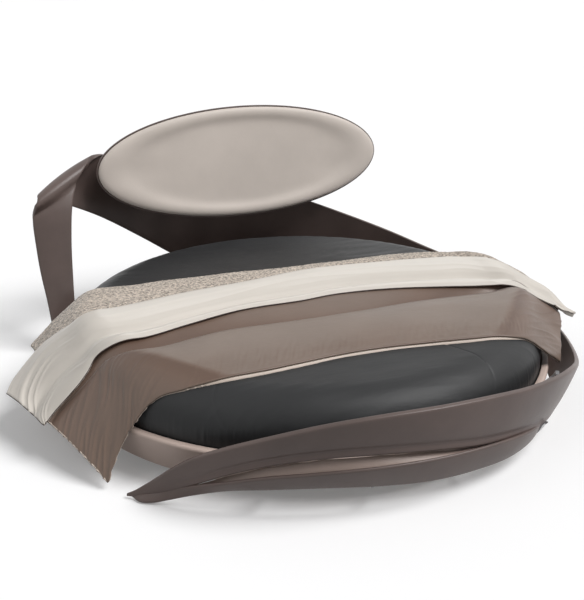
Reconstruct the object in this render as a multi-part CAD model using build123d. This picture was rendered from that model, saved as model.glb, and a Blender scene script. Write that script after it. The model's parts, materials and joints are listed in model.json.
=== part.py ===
from build123d import *

import math
import os

# Round bed with a swirling ribbon frame, an oval headboard and loose bedding.
# Millimetres, +Z up, floor at z = 0, origin on the floor under the middle of the mattress.
# The headboard stands on the +Y side. Angles run anticlockwise from +X, seen from above.

# Mattress
mattress_radius = 1050.0
mattress_seat = 150.0
mattress_depth = 243.0
mattress_edge_round = 164.0
mattress_foot_round = 15.0
mattress_crown = 7.0
crown_reach_share = 0.7
crown_middle_share = 1 / 3
topper_depth = 60.0
sheet_thickness = 2.5
sheet_tuck = 150.0

# Clearances
fit = 0.3
soft_gap = 0.6
overrun = 60.0

# Upholstered ring base
rail_drop = 90.0
rail_hold = 45.0
rail_overhang = 35.0
rail_slope = 39.0
rail_wall = 36.0
rail_play = 6.0
rail_lip_round = 9.0
cover_thickness = 3.0
rail_joint_angle = 20.0
quarter_turn = 90.0
half_turn = 180.0
full_turn = 360.0

# Slats
slat_thickness = 18.0
slat_width = 70.0
slat_side_gap = 31.0
slats_each_side = 8
slat_end_gap = 2.0
slat_screw_diameter = 5.0
slat_screw_head = 9.0
slat_screw_head_height = 3.0
slat_screw_length = 42.0

# Beams and plinth under the slats
beam_width = 40.0
beam_height = 60.0
hanger_thickness = 4.0
hanger_width = 120.0
hanger_shelf = 56.0
plate_thickness = 4.0
plate_width = 110.0
plate_height = 44.0
plate_lift = 14.0
angle_leg = 46.0
angle_thickness = 4.0
angle_bolt_share = 0.6
plinth_inset = 105.0
plinth_thickness = 25.0
plinth_joint_angle = 65.0
glide_height = 4.0
glide_diameter = 22.0
glides_per_quarter = 3
centre_foot_diameter = 60.0
centre_glide_diameter = 54.0

# Bolts: shank, head, head height, length in the wood
bolt_diameter = 8.0
bolt_head = 14.0
bolt_head_height = 5.0
bolt_grip = 26.0
plate_bolt_spacing = 60.0
hanger_bolt_spacing = 84.0

# Ribbon
ribbon_reach = 100.0
ribbon_crest = 106.0
ribbon_thickness = 22.0
ribbon_bow = 0.035
leaf_thickness = 12.0
ledge_thickness = 6.0
fold_radius_high = 45.0
fold_radius_low = 26.0
fold_steps = 6
section_spacing = 95.0
travel_step = 4.75
ledge_steps = 8
foot_plate_thickness = 3.0
foot_plate_border = 14.0
dowel_diameter = 10.0
dowel_length = 60.0

# Brackets that hold the ribbon to the base
bracket_thickness = 8.0
bracket_width = 40.0
bracket_pad_height = 40.0
bracket_pad_depth = 8.0
bracket_bolt_spacing = 16.0

# Headboard
headboard_half_width = 782.0
headboard_half_height = 287.0
headboard_left_inset = 326.0
headboard_inset = 50.0
headboard_lift = 401.0
headboard_lean = 10.0
headboard_roll = 2.8
headboard_depth = 60.0
headboard_rim = 8.0
headboard_taper = 28.0
headboard_back = 10.0
headboard_board = 15.0
pad_roll_height = 24.0
pad_dish = 10.0
pad_clearance = 1.0
pad_roll_share = 0.9
pad_side_share = 0.98
pad_slope_share = 0.81
pad_dish_share = 0.72
headboard_arm_width = 60.0
headboard_arm_height = 70.0
headboard_plate = 120.0
headboard_plate_thickness = 6.0
headboard_bolt_inset = 16.0
headboard_bolt_grip = 20.0
headboard_arm_across_shares = [-0.406, -0.228, -0.019]
headboard_arm_up_shares = [-0.10, -0.42, -0.66]

# Bedding
throw_thickness = 12.0
coverlet_thickness = 8.0
quilt_thickness = 10.0
fold_ridge_height = 12.0
fold_ridge_width = 60.0

# Places along the front leaf: angle, then reach and height shares of its upper edge and of the
# crease under it, then its thickness share. Reach counts outwards from the base's lip.
front_leaf_shares = [
    (-143.2, 1.22, 0.022, 1.24, 0.010, 0.30),
    (-142.0, 1.14, 0.038, 1.19, 0.013, 0.36),
    (-140.0, 0.99, 0.073, 1.07, 0.024, 0.45),
    (-137.5, 0.96, 0.120, 0.90, 0.042, 0.60),
    (-135.0, 0.95, 0.168, 0.80, 0.068, 0.75),
    (-131.0, 0.95, 0.234, 0.70, 0.108, 0.90),
    (-125.0, 0.95, 0.302, 0.65, 0.174, 1.0),
    (-118.0, 0.95, 0.361, 0.60, 0.228, 1.0),
    (-108.0, 0.95, 0.422, 0.57, 0.264, 1.0),
    (-98.0, 0.955, 0.449, 0.56, 0.264, 1.0),
    (-88.0, 0.965, 0.450, 0.58, 0.243, 1.0),
    (-78.0, 1.00, 0.438, 0.62, 0.207, 1.0),
    (-68.0, 1.08, 0.411, 0.64, 0.173, 1.0),
    (-58.0, 1.13, 0.378, 0.55, 0.131, 1.0),
    (-48.0, 1.15, 0.333, 0.43, 0.096, 1.0),
]

# The single ribbon round the right side and the back, as angle, reach and height shares of its
# upper edge, then the same of its lower edge.
right_bend_shares = [
    (-40.0, 1.13, 0.280, -40.0, 0.43, 0.096),
    (-30.0, 1.10, 0.239, -30.0, 0.43, 0.096),
    (-19.0, 1.12, 0.222, -19.0, 0.43, 0.096),
    (-8.0, 1.15, 0.228, -8.0, 0.45, 0.097),
    (5.0, 1.15, 0.250, 5.0, 0.47, 0.098),
]
rear_waist_shares = [
    (15.0, 1.16, 0.274, 15.0, 0.50, 0.099),
    (25.0, 1.17, 0.308, 25.0, 0.55, 0.100),
    (35.0, 1.18, 0.350, 35.0, 0.60, 0.101),
    (45.0, 1.19, 0.411, 45.0, 0.65, 0.102),
]
back_band_shares = [
    (56.0, 1.25, 0.484, 57.0, 0.75, 0.102),
    (67.3, 1.32, 0.569, 71.0, 0.90, 0.102),
    (79.0, 1.40, 0.663, 85.0, 1.10, 0.104),
]
back_rise_shares = [
    (89.0, 1.47, 0.740, 95.5, 1.33, 0.144),
    (98.0, 1.55, 0.812, 104.0, 1.56, 0.285),
    (107.0, 1.68, 0.880, 113.5, 1.72, 0.449),
    (114.5, 1.88, 0.928, 124.0, 2.03, 0.620),
]
# The fold's axis, then the leg down to the floor.
fold_axis_shares = [(123.3, 1.76, 0.927), (139.1, 2.56, 0.787)]
left_leg_shares = [
    (132.3, 1.64, 0.821, 141.0, 2.76, 0.722),
    (134.1, 1.52, 0.759, 141.3, 2.75, 0.689),
    (137.2, 1.27, 0.584, 142.3, 2.56, 0.556),
    (140.2, 0.95, 0.382, 143.7, 2.23, 0.400),
    (141.5, 0.81, 0.307, 144.9, 1.91, 0.291),
    (143.0, 0.68, 0.150, 146.4, 1.56, 0.140),
    (144.4, 0.58, 0.003, 147.9, 1.21, 0.003),
]

# The lower leaf, as angle, then reach and height shares of its upper and lower edges.
lower_leaf_shares = [
    (-140.5, 1.31, 0.016, 1.30, 0.004),
    (-138.0, 1.09, 0.036, 1.14, 0.010),
    (-135.5, 1.00, 0.060, 0.95, 0.026),
    (-131.0, 0.93, 0.106, 0.78, 0.063),
    (-125.0, 0.92, 0.154, 0.60, 0.098),
    (-118.0, 0.92, 0.193, 0.48, 0.112),
    (-108.0, 0.92, 0.219, 0.41, 0.120),
    (-98.0, 0.92, 0.227, 0.40, 0.109),
    (-88.0, 0.92, 0.224, 0.45, 0.093),
    (-78.0, 0.92, 0.213, 0.55, 0.087),
    (-68.0, 0.92, 0.190, 0.61, 0.080),
    (-60.0, 0.89, 0.153, 0.63, 0.086),
    (-56.0, 0.84, 0.128, 0.70, 0.097),
]
ledge_ends = (-131.0, -68.0)
bracket_angles = [-118.0, -98.0, -78.0, -58.0, -34.0, -8.0, 20.0, 42.0, 62.0]

# Plan outlines of the bedding, as shares of the mattress radius, anticlockwise from the left.
throw_rear_shares = [(-1.10, 0.320), (-0.80, 0.322), (0.09, 0.269), (0.39, 0.295), (0.67, 0.250),
                     (0.91, 0.187), (1.06, 0.130)]
coverlet_rear_shares = [(-1.10, 0.105), (-0.93, 0.003), (-0.81, 0.027), (-0.68, 0.048),
                        (-0.54, 0.091), (-0.42, 0.100), (-0.05, 0.157), (0.33, 0.170),
                        (0.87, 0.120), (1.02, 0.050)]
coverlet_left_shares = [(-1.238, -0.061), (-1.228, -0.143)]
coverlet_right_shares = [(1.08, -0.115), (1.133, -0.356), (1.025, -0.447)]
quilt_rear_shares = [(-1.130, -0.309), (-1.038, -0.362), (-0.848, -0.330), (-0.691, -0.280),
                     (-0.515, -0.221), (-0.085, -0.181), (0.439, -0.187), (0.686, -0.248),
                     (0.857, -0.314), (0.955, -0.400)]
quilt_front_shares = [(0.886, -0.533), (0.843, -0.667), (0.610, -0.762), (0.404, -0.714),
                      (0.171, -0.692), (-0.356, -0.680), (-0.654, -0.708), (-0.750, -0.700),
                      (-0.820, -0.640), (-0.880, -0.610), (-0.970, -0.606), (-1.060, -0.480)]
outline_gap = 1.5

# Where each hanging side ends: reach outwards from the base's lip and height.
throw_left_hem = (75.0, 215.0)
throw_right_hem = (8.0, 262.0)
coverlet_left_hem = (215.0, 150.0)
coverlet_right_hem = (165.0, 255.0)
quilt_left_hem = (120.0, 38.0)
quilt_right_hem = (42.0, 200.0)

# Lines of the long folds, as shares of the mattress radius across the bed.
coverlet_fold_shares = [-0.14, -0.03, 0.08]
quilt_fold_shares = [-0.37, -0.53]

mattress_top = mattress_seat + mattress_depth
rail_bottom = mattress_seat - rail_drop
rail_top = mattress_seat + rail_hold
rail_lip_radius = mattress_radius + rail_overhang
rail_foot_radius = rail_lip_radius - rail_slope
rail_inner_radius = rail_foot_radius - rail_wall
plate_bottom = rail_bottom + plate_lift
plinth_radius = rail_inner_radius - plinth_inset
slat_pitch = (rail_inner_radius - slat_side_gap - slat_width / 2) / slats_each_side
headboard_side_offset = headboard_half_width - (mattress_radius - headboard_left_inset)
headboard_setback = mattress_radius - headboard_inset
headboard_height = mattress_top + headboard_lift
ribbon_rise = headboard_height + ribbon_crest
slat_top = mattress_seat - fit
slat_seat = slat_top - slat_thickness
beam_bottom = slat_seat - beam_height
rebate_radius = mattress_radius + rail_play
wood_lip_radius = rail_lip_radius - cover_thickness


def at_angle(shape, degrees):
    """Turn a shape about the bed's vertical axis."""
    return shape.rotate(Axis.Z, degrees)


def ring_piece(profile_points, start, sweep):
    """Sweep a radius-and-height outline round the bed's axis."""
    wire = Polyline(*[(radius, 0, height) for radius, height in profile_points], close=True)
    face = Face(Wire(wire.edges()))
    return at_angle(revolve(face, axis=Axis.Z, revolution_arc=sweep), start)


def ring_block(inner, outer, low, high, start, sweep):
    """Piece of a plain ring between two radii and two heights."""
    points = [(inner, low), (outer, low), (outer, high), (inner, high)]
    return ring_piece(points, start, sweep)


def polar(angle, radius, height):
    """Point at an angle, a radius and a height."""
    turn = math.radians(angle)
    return Vector(radius * math.cos(turn), radius * math.sin(turn), height)


def ribbon_point(angle, reach_share, height_share):
    """Point of the ribbon from its angle and its shares."""
    radius = rail_lip_radius + reach_share * ribbon_reach
    return polar(angle, radius, height_share * ribbon_rise)


def rod(start, direction, length, diameter):
    """Round rod from a point, along a direction."""
    plane = Plane(origin=start, z_dir=direction)
    return plane * Cylinder(diameter / 2, length, align=(Align.CENTER, Align.CENTER, Align.MIN))


def bolt(seat, direction, head_height, head, shank, grip):
    """Bolt whose head rests at the seat and whose shank runs along the direction."""
    heading = Vector(direction).normalized()
    shaft = rod(seat, heading, grip, shank)
    cap = rod(Vector(seat) - heading * head_height, heading, head_height, head)
    return shaft + cap


def joined(pieces):
    """Separate solids of one node as a compound."""
    solids = [solid for piece in pieces for solid in piece.solids()]
    return Compound(children=solids)


def save(shape, name):
    """Write one sub-part."""
    export_step(shape, "parts/" + name + ".step")


# Ribbon sections

def strip_section(upper, lower, outward, thickness, bow):
    """Closed outline across the ribbon: two shallow arcs with square ends."""
    half = outward * (thickness / 2)
    middle = (upper + lower) / 2 + outward * bow
    outer = ThreePointArc(upper + half, middle + half, lower + half)
    inner = ThreePointArc(lower - half, middle - half, upper - half)
    foot = Line(lower + half, lower - half)
    head = Line(upper - half, upper + half)
    return Wire([outer.edge(), foot.edge(), inner.edge(), head.edge()])


def outward_of(upper, lower, travel):
    """Direction square to the ribbon's width and to its run, away from the bed's middle."""
    return travel.cross(upper - lower).normalized()


def leaf_row(row, share):
    """A leaf's row with its one angle given for both edges, and its thickness share."""
    angle, up_reach, up_height, low_reach, low_height = row[:5]
    return (angle, up_reach, up_height, angle, low_reach, low_height, share)


def middle_of(row):
    """Middle of the ribbon's width at a row."""
    return (ribbon_point(*row[0:3]) + ribbon_point(*row[3:6])) / 2


def row_of(upper, lower):
    """Row that holds two given edge points."""
    row = ()
    for point in (upper, lower):
        radius = math.hypot(point.X, point.Y)
        angle = math.degrees(math.atan2(point.Y, point.X))
        row += (angle, (radius - rail_lip_radius) / ribbon_reach, point.Z / ribbon_rise)
    return row + (1.0,)


def knots_of(rows):
    """Distance along the rows' middle line at each row."""
    knots = [0.0]
    for before, after in zip(rows, rows[1:]):
        knots.append(knots[-1] + (middle_of(after) - middle_of(before)).length)
    return knots


def slope_at(rows, knots, index):
    """How fast each share changes along the middle line at a row."""
    last = len(rows) - 1
    before = max(index - 1, 0)
    after = min(index + 1, last)
    if before == index or after == index:
        span = knots[after] - knots[before]
        return [(high - low) / span for low, high in zip(rows[before], rows[after])]
    back = knots[index] - knots[before]
    ahead = knots[after] - knots[index]
    slopes = []
    for low, middle, high in zip(rows[before], rows[index], rows[after]):
        slopes.append(((middle - low) / back * ahead + (high - middle) / ahead * back) / (back + ahead))
    return slopes


def row_at(rows, knots, place):
    """Row at a distance along the middle line, on a smooth curve through the given rows."""
    index = 0
    while index < len(rows) - 2 and knots[index + 1] < place:
        index += 1
    span = knots[index + 1] - knots[index]
    mix = (place - knots[index]) / span
    start_slopes = slope_at(rows, knots, index)
    end_slopes = slope_at(rows, knots, index + 1)
    result = []
    shares = zip(rows[index], rows[index + 1], start_slopes, end_slopes)
    for start, end, start_slope, end_slope in shares:
        rise = end - start
        curve = (3 * mix ** 2 - 2 * mix ** 3) * rise
        lead = (mix ** 3 - 2 * mix ** 2 + mix) * start_slope * span
        trail = (mix ** 3 - mix ** 2) * end_slope * span
        result.append(start + curve + lead + trail)
    return result


def section_at(rows, knots, place):
    """Section of the ribbon at a distance along its middle line."""
    row = row_at(rows, knots, place)
    upper = ribbon_point(*row[0:3])
    lower = ribbon_point(*row[3:6])
    before = middle_of(row_at(rows, knots, max(place - travel_step, 0)))
    after = middle_of(row_at(rows, knots, min(place + travel_step, knots[-1])))
    outward = outward_of(upper, lower, after - before)
    bow = ribbon_bow * (upper - lower).length
    return strip_section(upper, lower, outward, row[6] * ribbon_thickness, bow)


def length_sections(rows, first, last):
    """Evenly spaced sections of one length of ribbon, between two of its rows."""
    knots = knots_of(rows)
    run = knots[last] - knots[first]
    steps = max(round(run / section_spacing), 3)
    return [section_at(rows, knots, knots[first] + run * step / steps) for step in range(steps + 1)]


def level_section(row):
    """Level section that ends the leg on its foot plate."""
    upper = ribbon_point(*row[0:3])
    lower = ribbon_point(*row[3:6])
    upper = Vector(upper.X, upper.Y, foot_plate_thickness)
    lower = Vector(lower.X, lower.Y, foot_plate_thickness)
    outward = (upper - lower).cross(Vector(0, 0, 1)).normalized()
    if outward.dot(upper) < 0:
        outward = -outward
    return strip_section(upper, lower, outward, ribbon_thickness, ribbon_bow * (upper - lower).length)


def fold_sections():
    """Sections that roll over the fold's slanted axis, from the back band to the leg."""
    high = ribbon_point(*fold_axis_shares[0])
    low = ribbon_point(*fold_axis_shares[1])
    along = (low - high).normalized()
    middle = (high + low) / 2
    inward = Vector(-middle.X, -middle.Y, 0).normalized()
    inward = (inward - along * inward.dot(along)).normalized()
    upward = along.cross(inward).normalized()
    sections = []
    edges = []
    for step in range(fold_steps + 1):
        turn = math.pi * step / fold_steps
        outward = upward * math.sin(turn) - inward * math.cos(turn)
        slide = turn - math.pi / 2
        upper = high + outward * fold_radius_high + along * (slide * fold_radius_high)
        lower = low + outward * fold_radius_low + along * (slide * fold_radius_low)
        square = (upper - lower).normalized()
        normal = (outward - square * outward.dot(square)).normalized()
        bow = ribbon_bow * fold_radius_low
        sections.append(strip_section(upper, lower, normal, ribbon_thickness, bow))
        edges.append((upper, lower))
    return sections, edges


def leaf_edges(rows, angle):
    """Shares of a leaf's two edges at an angle."""
    for before, after in zip(rows, rows[1:]):
        if before[0] <= angle <= after[0]:
            mix = (angle - before[0]) / (after[0] - before[0])
            return [low + mix * (high - low) for low, high in zip(before[1:5], after[1:5])]
    raise ValueError("angle is off the leaf")


def ledge_sections():
    """Sections of the narrow ledge between the two leaves."""
    sections = []
    for step in range(ledge_steps + 1):
        angle = ledge_ends[0] + (ledge_ends[1] - ledge_ends[0]) * step / ledge_steps
        _, _, crease_reach, crease_height = leaf_edges(front_leaf_shares, angle)
        lip_reach, lip_height, hem_reach, hem_height = leaf_edges(lower_leaf_shares, angle)
        drop = ledge_thickness * 2
        lip_level = min(lip_height, crease_height) * ribbon_rise - drop
        slope = (lip_reach - hem_reach) * ribbon_reach / ((lip_height - hem_height) * ribbon_rise)
        leaf_radius = rail_lip_radius + lip_reach * ribbon_reach
        leaf_radius -= slope * (lip_height * ribbon_rise - lip_level + ledge_thickness / 2)
        inner_radius = rail_lip_radius + crease_reach * ribbon_reach - ledge_thickness
        inner = polar(angle, inner_radius, crease_height * ribbon_rise - drop)
        outer = polar(angle, leaf_radius, lip_level)
        square = (inner - outer).normalized()
        upright = Vector(0, 0, 1)
        normal = (upright - square * upright.dot(square)).normalized()
        bow = ribbon_bow * ledge_thickness
        sections.append(strip_section(inner, outer, normal, ledge_thickness, bow))
    return sections


def build_ribbon():
    """All lengths of the ribbon, keyed by name, with the seam places for the dowels."""
    fold_wires, fold_edges = fold_sections()
    rows = [leaf_row(row, row[5]) for row in front_leaf_shares]
    rows += [row + (1.0,) for row in right_bend_shares + rear_waist_shares]
    rows += [row + (1.0,) for row in back_band_shares + back_rise_shares]
    rows.append(row_of(*fold_edges[0]))
    first = len(front_leaf_shares) - 1
    second = first + len(right_bend_shares)
    third = second + len(rear_waist_shares)
    fourth = third + len(back_band_shares)
    leg_rows = [row_of(*fold_edges[-1])] + [row + (1.0,) for row in left_leg_shares]
    rise_wires = length_sections(rows, fourth, len(rows) - 1)
    leg_wires = length_sections(leg_rows, 0, len(leg_rows) - 1)
    leg_wires[-1] = level_section(leg_rows[-1])
    lengths = {
        "front_leaf": loft_through(length_sections(rows, 0, first)),
        "right_bend": loft_through(length_sections(rows, first, second)),
        "rear_waist": loft_through(length_sections(rows, second, third)),
        "back_band": loft_through(length_sections(rows, third, fourth)),
        "back_rise": loft_through(rise_wires[:-1] + fold_wires[:1]),
        "top_fold": loft_through(fold_wires),
        "left_leg": loft_through(fold_wires[-1:] + leg_wires[1:]),
    }
    knots = knots_of(rows)
    seams = []
    for index, names in (
        (first, ("front_leaf", "right_bend")),
        (second, ("right_bend", "rear_waist")),
        (third, ("rear_waist", "back_band")),
        (fourth, ("back_band", "back_rise")),
    ):
        row = rows[index]
        before = middle_of(row_at(rows, knots, knots[index] - dowel_length / 2))
        after = middle_of(row_at(rows, knots, knots[index] + dowel_length / 2))
        travel = (after - before).normalized()
        seams.append((ribbon_point(*row[0:3]), ribbon_point(*row[3:6]), travel, names))
    return lengths, seams


def loft_through(wires):
    """Smooth solid through closed outlines."""
    return Solid.make_loft(wires, ruled=False)


def seam_dowels(lengths, seams):
    """Two dowels across each seam, and their holes cut in the two lengths that meet."""
    dowels = []
    for upper, lower, travel, names in seams:
        outward = outward_of(upper, lower, travel)
        bow = ribbon_bow * (upper - lower).length
        for share in (1 / 3, 2 / 3):
            rise = 4 * share * (1 - share)
            place = upper + (lower - upper) * share + outward * (bow * rise)
            start = place - travel * (dowel_length / 2)
            hole = rod(start - travel * fit, travel, dowel_length + 2 * fit, dowel_diameter + 2 * fit)
            for name in names:
                lengths[name] = lengths[name] - hole
            dowels.append(rod(start, travel, dowel_length, dowel_diameter))
    return joined(dowels)


def build_lower_leaf():
    """Lower leaf of the front and the ledge that joins it to the upper one."""
    rows = []
    for row in lower_leaf_shares:
        upper = ribbon_point(row[0], row[1], row[2])
        lower = ribbon_point(row[0], row[3], row[4])
        thickness = min(leaf_thickness, (upper - lower).length / 2)
        rows.append(leaf_row(row, thickness / ribbon_thickness))
    leaf = loft_through(length_sections(rows, 0, len(rows) - 1))
    ledge = loft_through(ledge_sections()) - leaf
    pieces = sorted(ledge.solids(), key=lambda piece: piece.volume)
    return leaf, pieces[-1]


# Base

def rail_profile():
    """Outline of the wooden ring, as radius and height."""
    return [
        (rail_inner_radius, rail_bottom),
        (rail_foot_radius - cover_thickness, rail_bottom),
        (wood_lip_radius, rail_top - cover_thickness),
        (rebate_radius, rail_top - cover_thickness),
        (rebate_radius, slat_seat),
        (rail_inner_radius, slat_seat),
    ]


def cover_profile():
    """Outline of the leather that covers the ring's outside and top."""
    return [
        (rail_foot_radius - cover_thickness, rail_bottom),
        (rail_foot_radius, rail_bottom),
        (rail_lip_radius, rail_top - rail_lip_round),
        (rail_lip_radius - rail_lip_round, rail_top),
        (rebate_radius, rail_top),
        (rebate_radius, rail_top - cover_thickness),
        (wood_lip_radius - rail_lip_round, rail_top - cover_thickness),
        (wood_lip_radius, rail_top - cover_thickness - rail_lip_round),
    ]


def wood_profile():
    """The wooden ring's outline with its lip eased to follow the leather."""
    points = rail_profile()
    eased = [
        (wood_lip_radius, rail_top - cover_thickness - rail_lip_round),
        (wood_lip_radius - rail_lip_round, rail_top - cover_thickness),
    ]
    return points[:2] + eased + points[3:]


def quarter_angles(first_angle):
    """Start angles of four equal quarters."""
    return [first_angle + quarter_turn * quarter for quarter in range(4)]


def radial_bolts(angle, radius, spacing, height):
    """Two bolts driven outwards through a curved plate, either side of an angle."""
    bolts = []
    holes = []
    seat_radius = math.sqrt(radius ** 2 - ((spacing + bolt_head) / 2) ** 2) - fit
    outward = polar(angle, 1, 0)
    sideways = Vector(-outward.Y, outward.X, 0)
    for side in (-1, 1):
        seat = outward * seat_radius + sideways * (side * spacing / 2) + Vector(0, 0, height)
        bolts.append(bolt(seat, outward, bolt_head_height, bolt_head, bolt_diameter, bolt_grip))
        start = seat - outward * bolt_head_height
        holes.append(rod(start, outward, bolt_grip + bolt_head_height + fit, bolt_diameter + 2 * fit))
    return bolts, holes


def slat_places():
    """Middle line and half length of each slat."""
    places = []
    for index in range(-slats_each_side, slats_each_side + 1):
        line = index * slat_pitch
        edge = abs(line) + slat_width / 2
        reach = math.sqrt((rebate_radius - slat_end_gap) ** 2 - edge ** 2)
        inner = math.sqrt(rail_inner_radius ** 2 - (abs(line) + slat_width / 2) ** 2)
        places.append((line, reach, (reach + inner) / 2))
    return places


def build_base():
    """Rails, covers, slats, beams, plinth and their fasteners."""
    holes = []
    plates = []
    plate_bolts = []
    for angle in quarter_angles(rail_joint_angle):
        half = math.degrees(plate_width / 2 / rail_inner_radius)
        inner = rail_inner_radius - plate_thickness
        plate = ring_block(
            inner, rail_inner_radius, plate_bottom, plate_bottom + plate_height, angle - half, 2 * half
        )
        height = plate_bottom + plate_height / 2
        bolts, bores = radial_bolts(angle, inner, plate_bolt_spacing, height)
        for bore in bores:
            plate = plate - bore
        plates.append(plate)
        plate_bolts += bolts
        holes += bores

    hangers = []
    hanger_bolts = []
    for angle in quarter_angles(0):
        half = math.degrees(hanger_width / 2 / rail_inner_radius)
        inner = rail_inner_radius - hanger_thickness
        flange = ring_block(
            inner, rail_inner_radius, beam_bottom - hanger_thickness, slat_seat, angle - half, 2 * half
        )
        shelf = Pos(rail_inner_radius - hanger_shelf, 0, beam_bottom - hanger_thickness) * Box(
            hanger_shelf - hanger_thickness / 2,
            beam_width + 2 * hanger_thickness,
            hanger_thickness,
            align=(Align.MIN, Align.CENTER, Align.MIN),
        )
        hanger = flange + at_angle(shelf, angle)
        height = (beam_bottom + slat_seat) / 2
        bolts, bores = radial_bolts(angle, inner, hanger_bolt_spacing, height)
        for bore in bores:
            hanger = hanger - bore
        hangers.append(hanger)
        hanger_bolts += bolts
        holes += bores

    beam_reach = rail_inner_radius - hanger_thickness - 2 * fit
    corner = math.sqrt(beam_reach ** 2 - (beam_width / 2) ** 2)
    long_beam = Pos(0, 0, beam_bottom) * Box(
        beam_width, 2 * corner, beam_height, align=(Align.CENTER, Align.CENTER, Align.MIN)
    )
    cross_length = corner - beam_width / 2
    cross = Pos(beam_width / 2, 0, beam_bottom) * Box(
        cross_length, beam_width, beam_height, align=(Align.MIN, Align.CENTER, Align.MIN)
    )

    angles = []
    angle_bolts = []
    beam_holes = []
    for side_x in (-1, 1):
        for side_y in (-1, 1):
            corner_x = side_x * beam_width / 2
            corner_y = side_y * beam_width / 2
            level = beam_bottom + (beam_height - angle_leg) / 2
            long_half = angle_leg / 2
            thin_half = angle_thickness / 2
            along_x = Pos(corner_x + side_x * long_half, corner_y + side_y * thin_half, level)
            along_y = Pos(corner_x + side_x * thin_half, corner_y + side_y * long_half, level)
            bottom = (Align.CENTER, Align.CENTER, Align.MIN)
            piece = along_x * Box(angle_leg, angle_thickness, angle_leg, align=bottom)
            piece = piece + along_y * Box(angle_thickness, angle_leg, angle_leg, align=bottom)
            middle = level + angle_leg / 2
            reach = angle_leg * angle_bolt_share
            proud = angle_thickness + fit
            seats = [
                ((corner_x + side_x * reach, corner_y + side_y * proud), (0, -side_y, 0)),
                ((corner_x + side_x * proud, corner_y + side_y * reach), (-side_x, 0, 0)),
            ]
            for place, heading in seats:
                seat = (*place, middle)
                grip = angle_thickness + beam_width / 4
                angle_bolts.append(bolt(seat, heading, bolt_head_height, bolt_head, bolt_diameter, grip))
                bore = rod(seat, heading, grip + fit, bolt_diameter + 2 * fit)
                piece = piece - bore
                beam_holes.append(bore)
            angles.append(piece)
    for bore in beam_holes:
        long_beam = long_beam - bore
    beams = []
    for turn in (0, half_turn):
        beam = at_angle(cross, turn)
        for bore in beam_holes:
            beam = beam - bore
        beams.append(beam)

    slats = []
    screws = []
    for line, reach, screw_reach in slat_places():
        slat = Pos(0, line, slat_seat) * Box(
            2 * reach, slat_width, slat_thickness, align=(Align.CENTER, Align.CENTER, Align.MIN)
        )
        for side in (-1, 1):
            seat = Vector(side * screw_reach, line, slat_top - slat_screw_head_height)
            down = Vector(0, 0, -1)
            length = slat_screw_length
            screws.append(
                bolt(seat, down, slat_screw_head_height, slat_screw_head, slat_screw_diameter, length)
            )
            bore = rod(seat, down, length + fit, slat_screw_diameter + 2 * fit)
            sink = rod(seat - down * overrun, down, overrun, slat_screw_head + 2 * fit)
            slat = slat - bore - sink
            holes.append(bore)
        slats.append(slat)

    return {
        "plates": plates,
        "plate_bolts": plate_bolts,
        "hangers": hangers,
        "hanger_bolts": hanger_bolts,
        "long_beam": long_beam,
        "cross_beams": beams,
        "beam_angles": angles,
        "beam_angle_bolts": angle_bolts,
        "slats": slats,
        "slat_screws": screws,
        "holes": holes,
    }


def build_plinth():
    """Recessed plinth quarters, their glides, the middle foot and its glide."""
    quarters = []
    glides = []
    inner = plinth_radius - plinth_thickness
    for start in quarter_angles(plinth_joint_angle):
        quarters.append(ring_block(inner, plinth_radius, glide_height, beam_bottom, start, quarter_turn))
        for index in range(glides_per_quarter):
            angle = start + quarter_turn * (index + 0.5) / glides_per_quarter
            place = polar(angle, plinth_radius - plinth_thickness / 2, 0)
            glides.append(rod(place, (0, 0, 1), glide_height, glide_diameter))
    foot = rod((0, 0, glide_height), (0, 0, 1), beam_bottom - glide_height, centre_foot_diameter)
    pad = rod((0, 0, 0), (0, 0, 1), glide_height, centre_glide_diameter)
    return quarters, glides, foot, pad


# Brackets between base and ribbon

def ribbon_inner_at(angle):
    """Upper and lower edge points of whatever length of ribbon stands lowest at an angle."""
    if angle <= lower_leaf_shares[-1][0]:
        up_reach, up_height, low_reach, low_height = leaf_edges(lower_leaf_shares, angle)
        upper = (rail_lip_radius + up_reach * ribbon_reach, up_height * ribbon_rise)
        lower = (rail_lip_radius + low_reach * ribbon_reach, low_height * ribbon_rise)
        return upper, lower, leaf_thickness
    last = front_leaf_shares[-1]
    rows = [(last[0], last[1], last[2], last[0], last[3], last[4])]
    rows += right_bend_shares + rear_waist_shares + back_band_shares
    uppers = [(row[0], row[1], row[2]) for row in rows]
    lowers = [(row[3], row[4], row[5]) for row in rows]
    found = []
    for places in (uppers, lowers):
        for before, after in zip(places, places[1:]):
            if before[0] <= angle <= after[0]:
                mix = (angle - before[0]) / (after[0] - before[0])
                reach = before[1] + mix * (after[1] - before[1])
                height = before[2] + mix * (after[2] - before[2])
                found.append((rail_lip_radius + reach * ribbon_reach, height * ribbon_rise))
                break
    return found[0], found[1], ribbon_thickness


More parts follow.
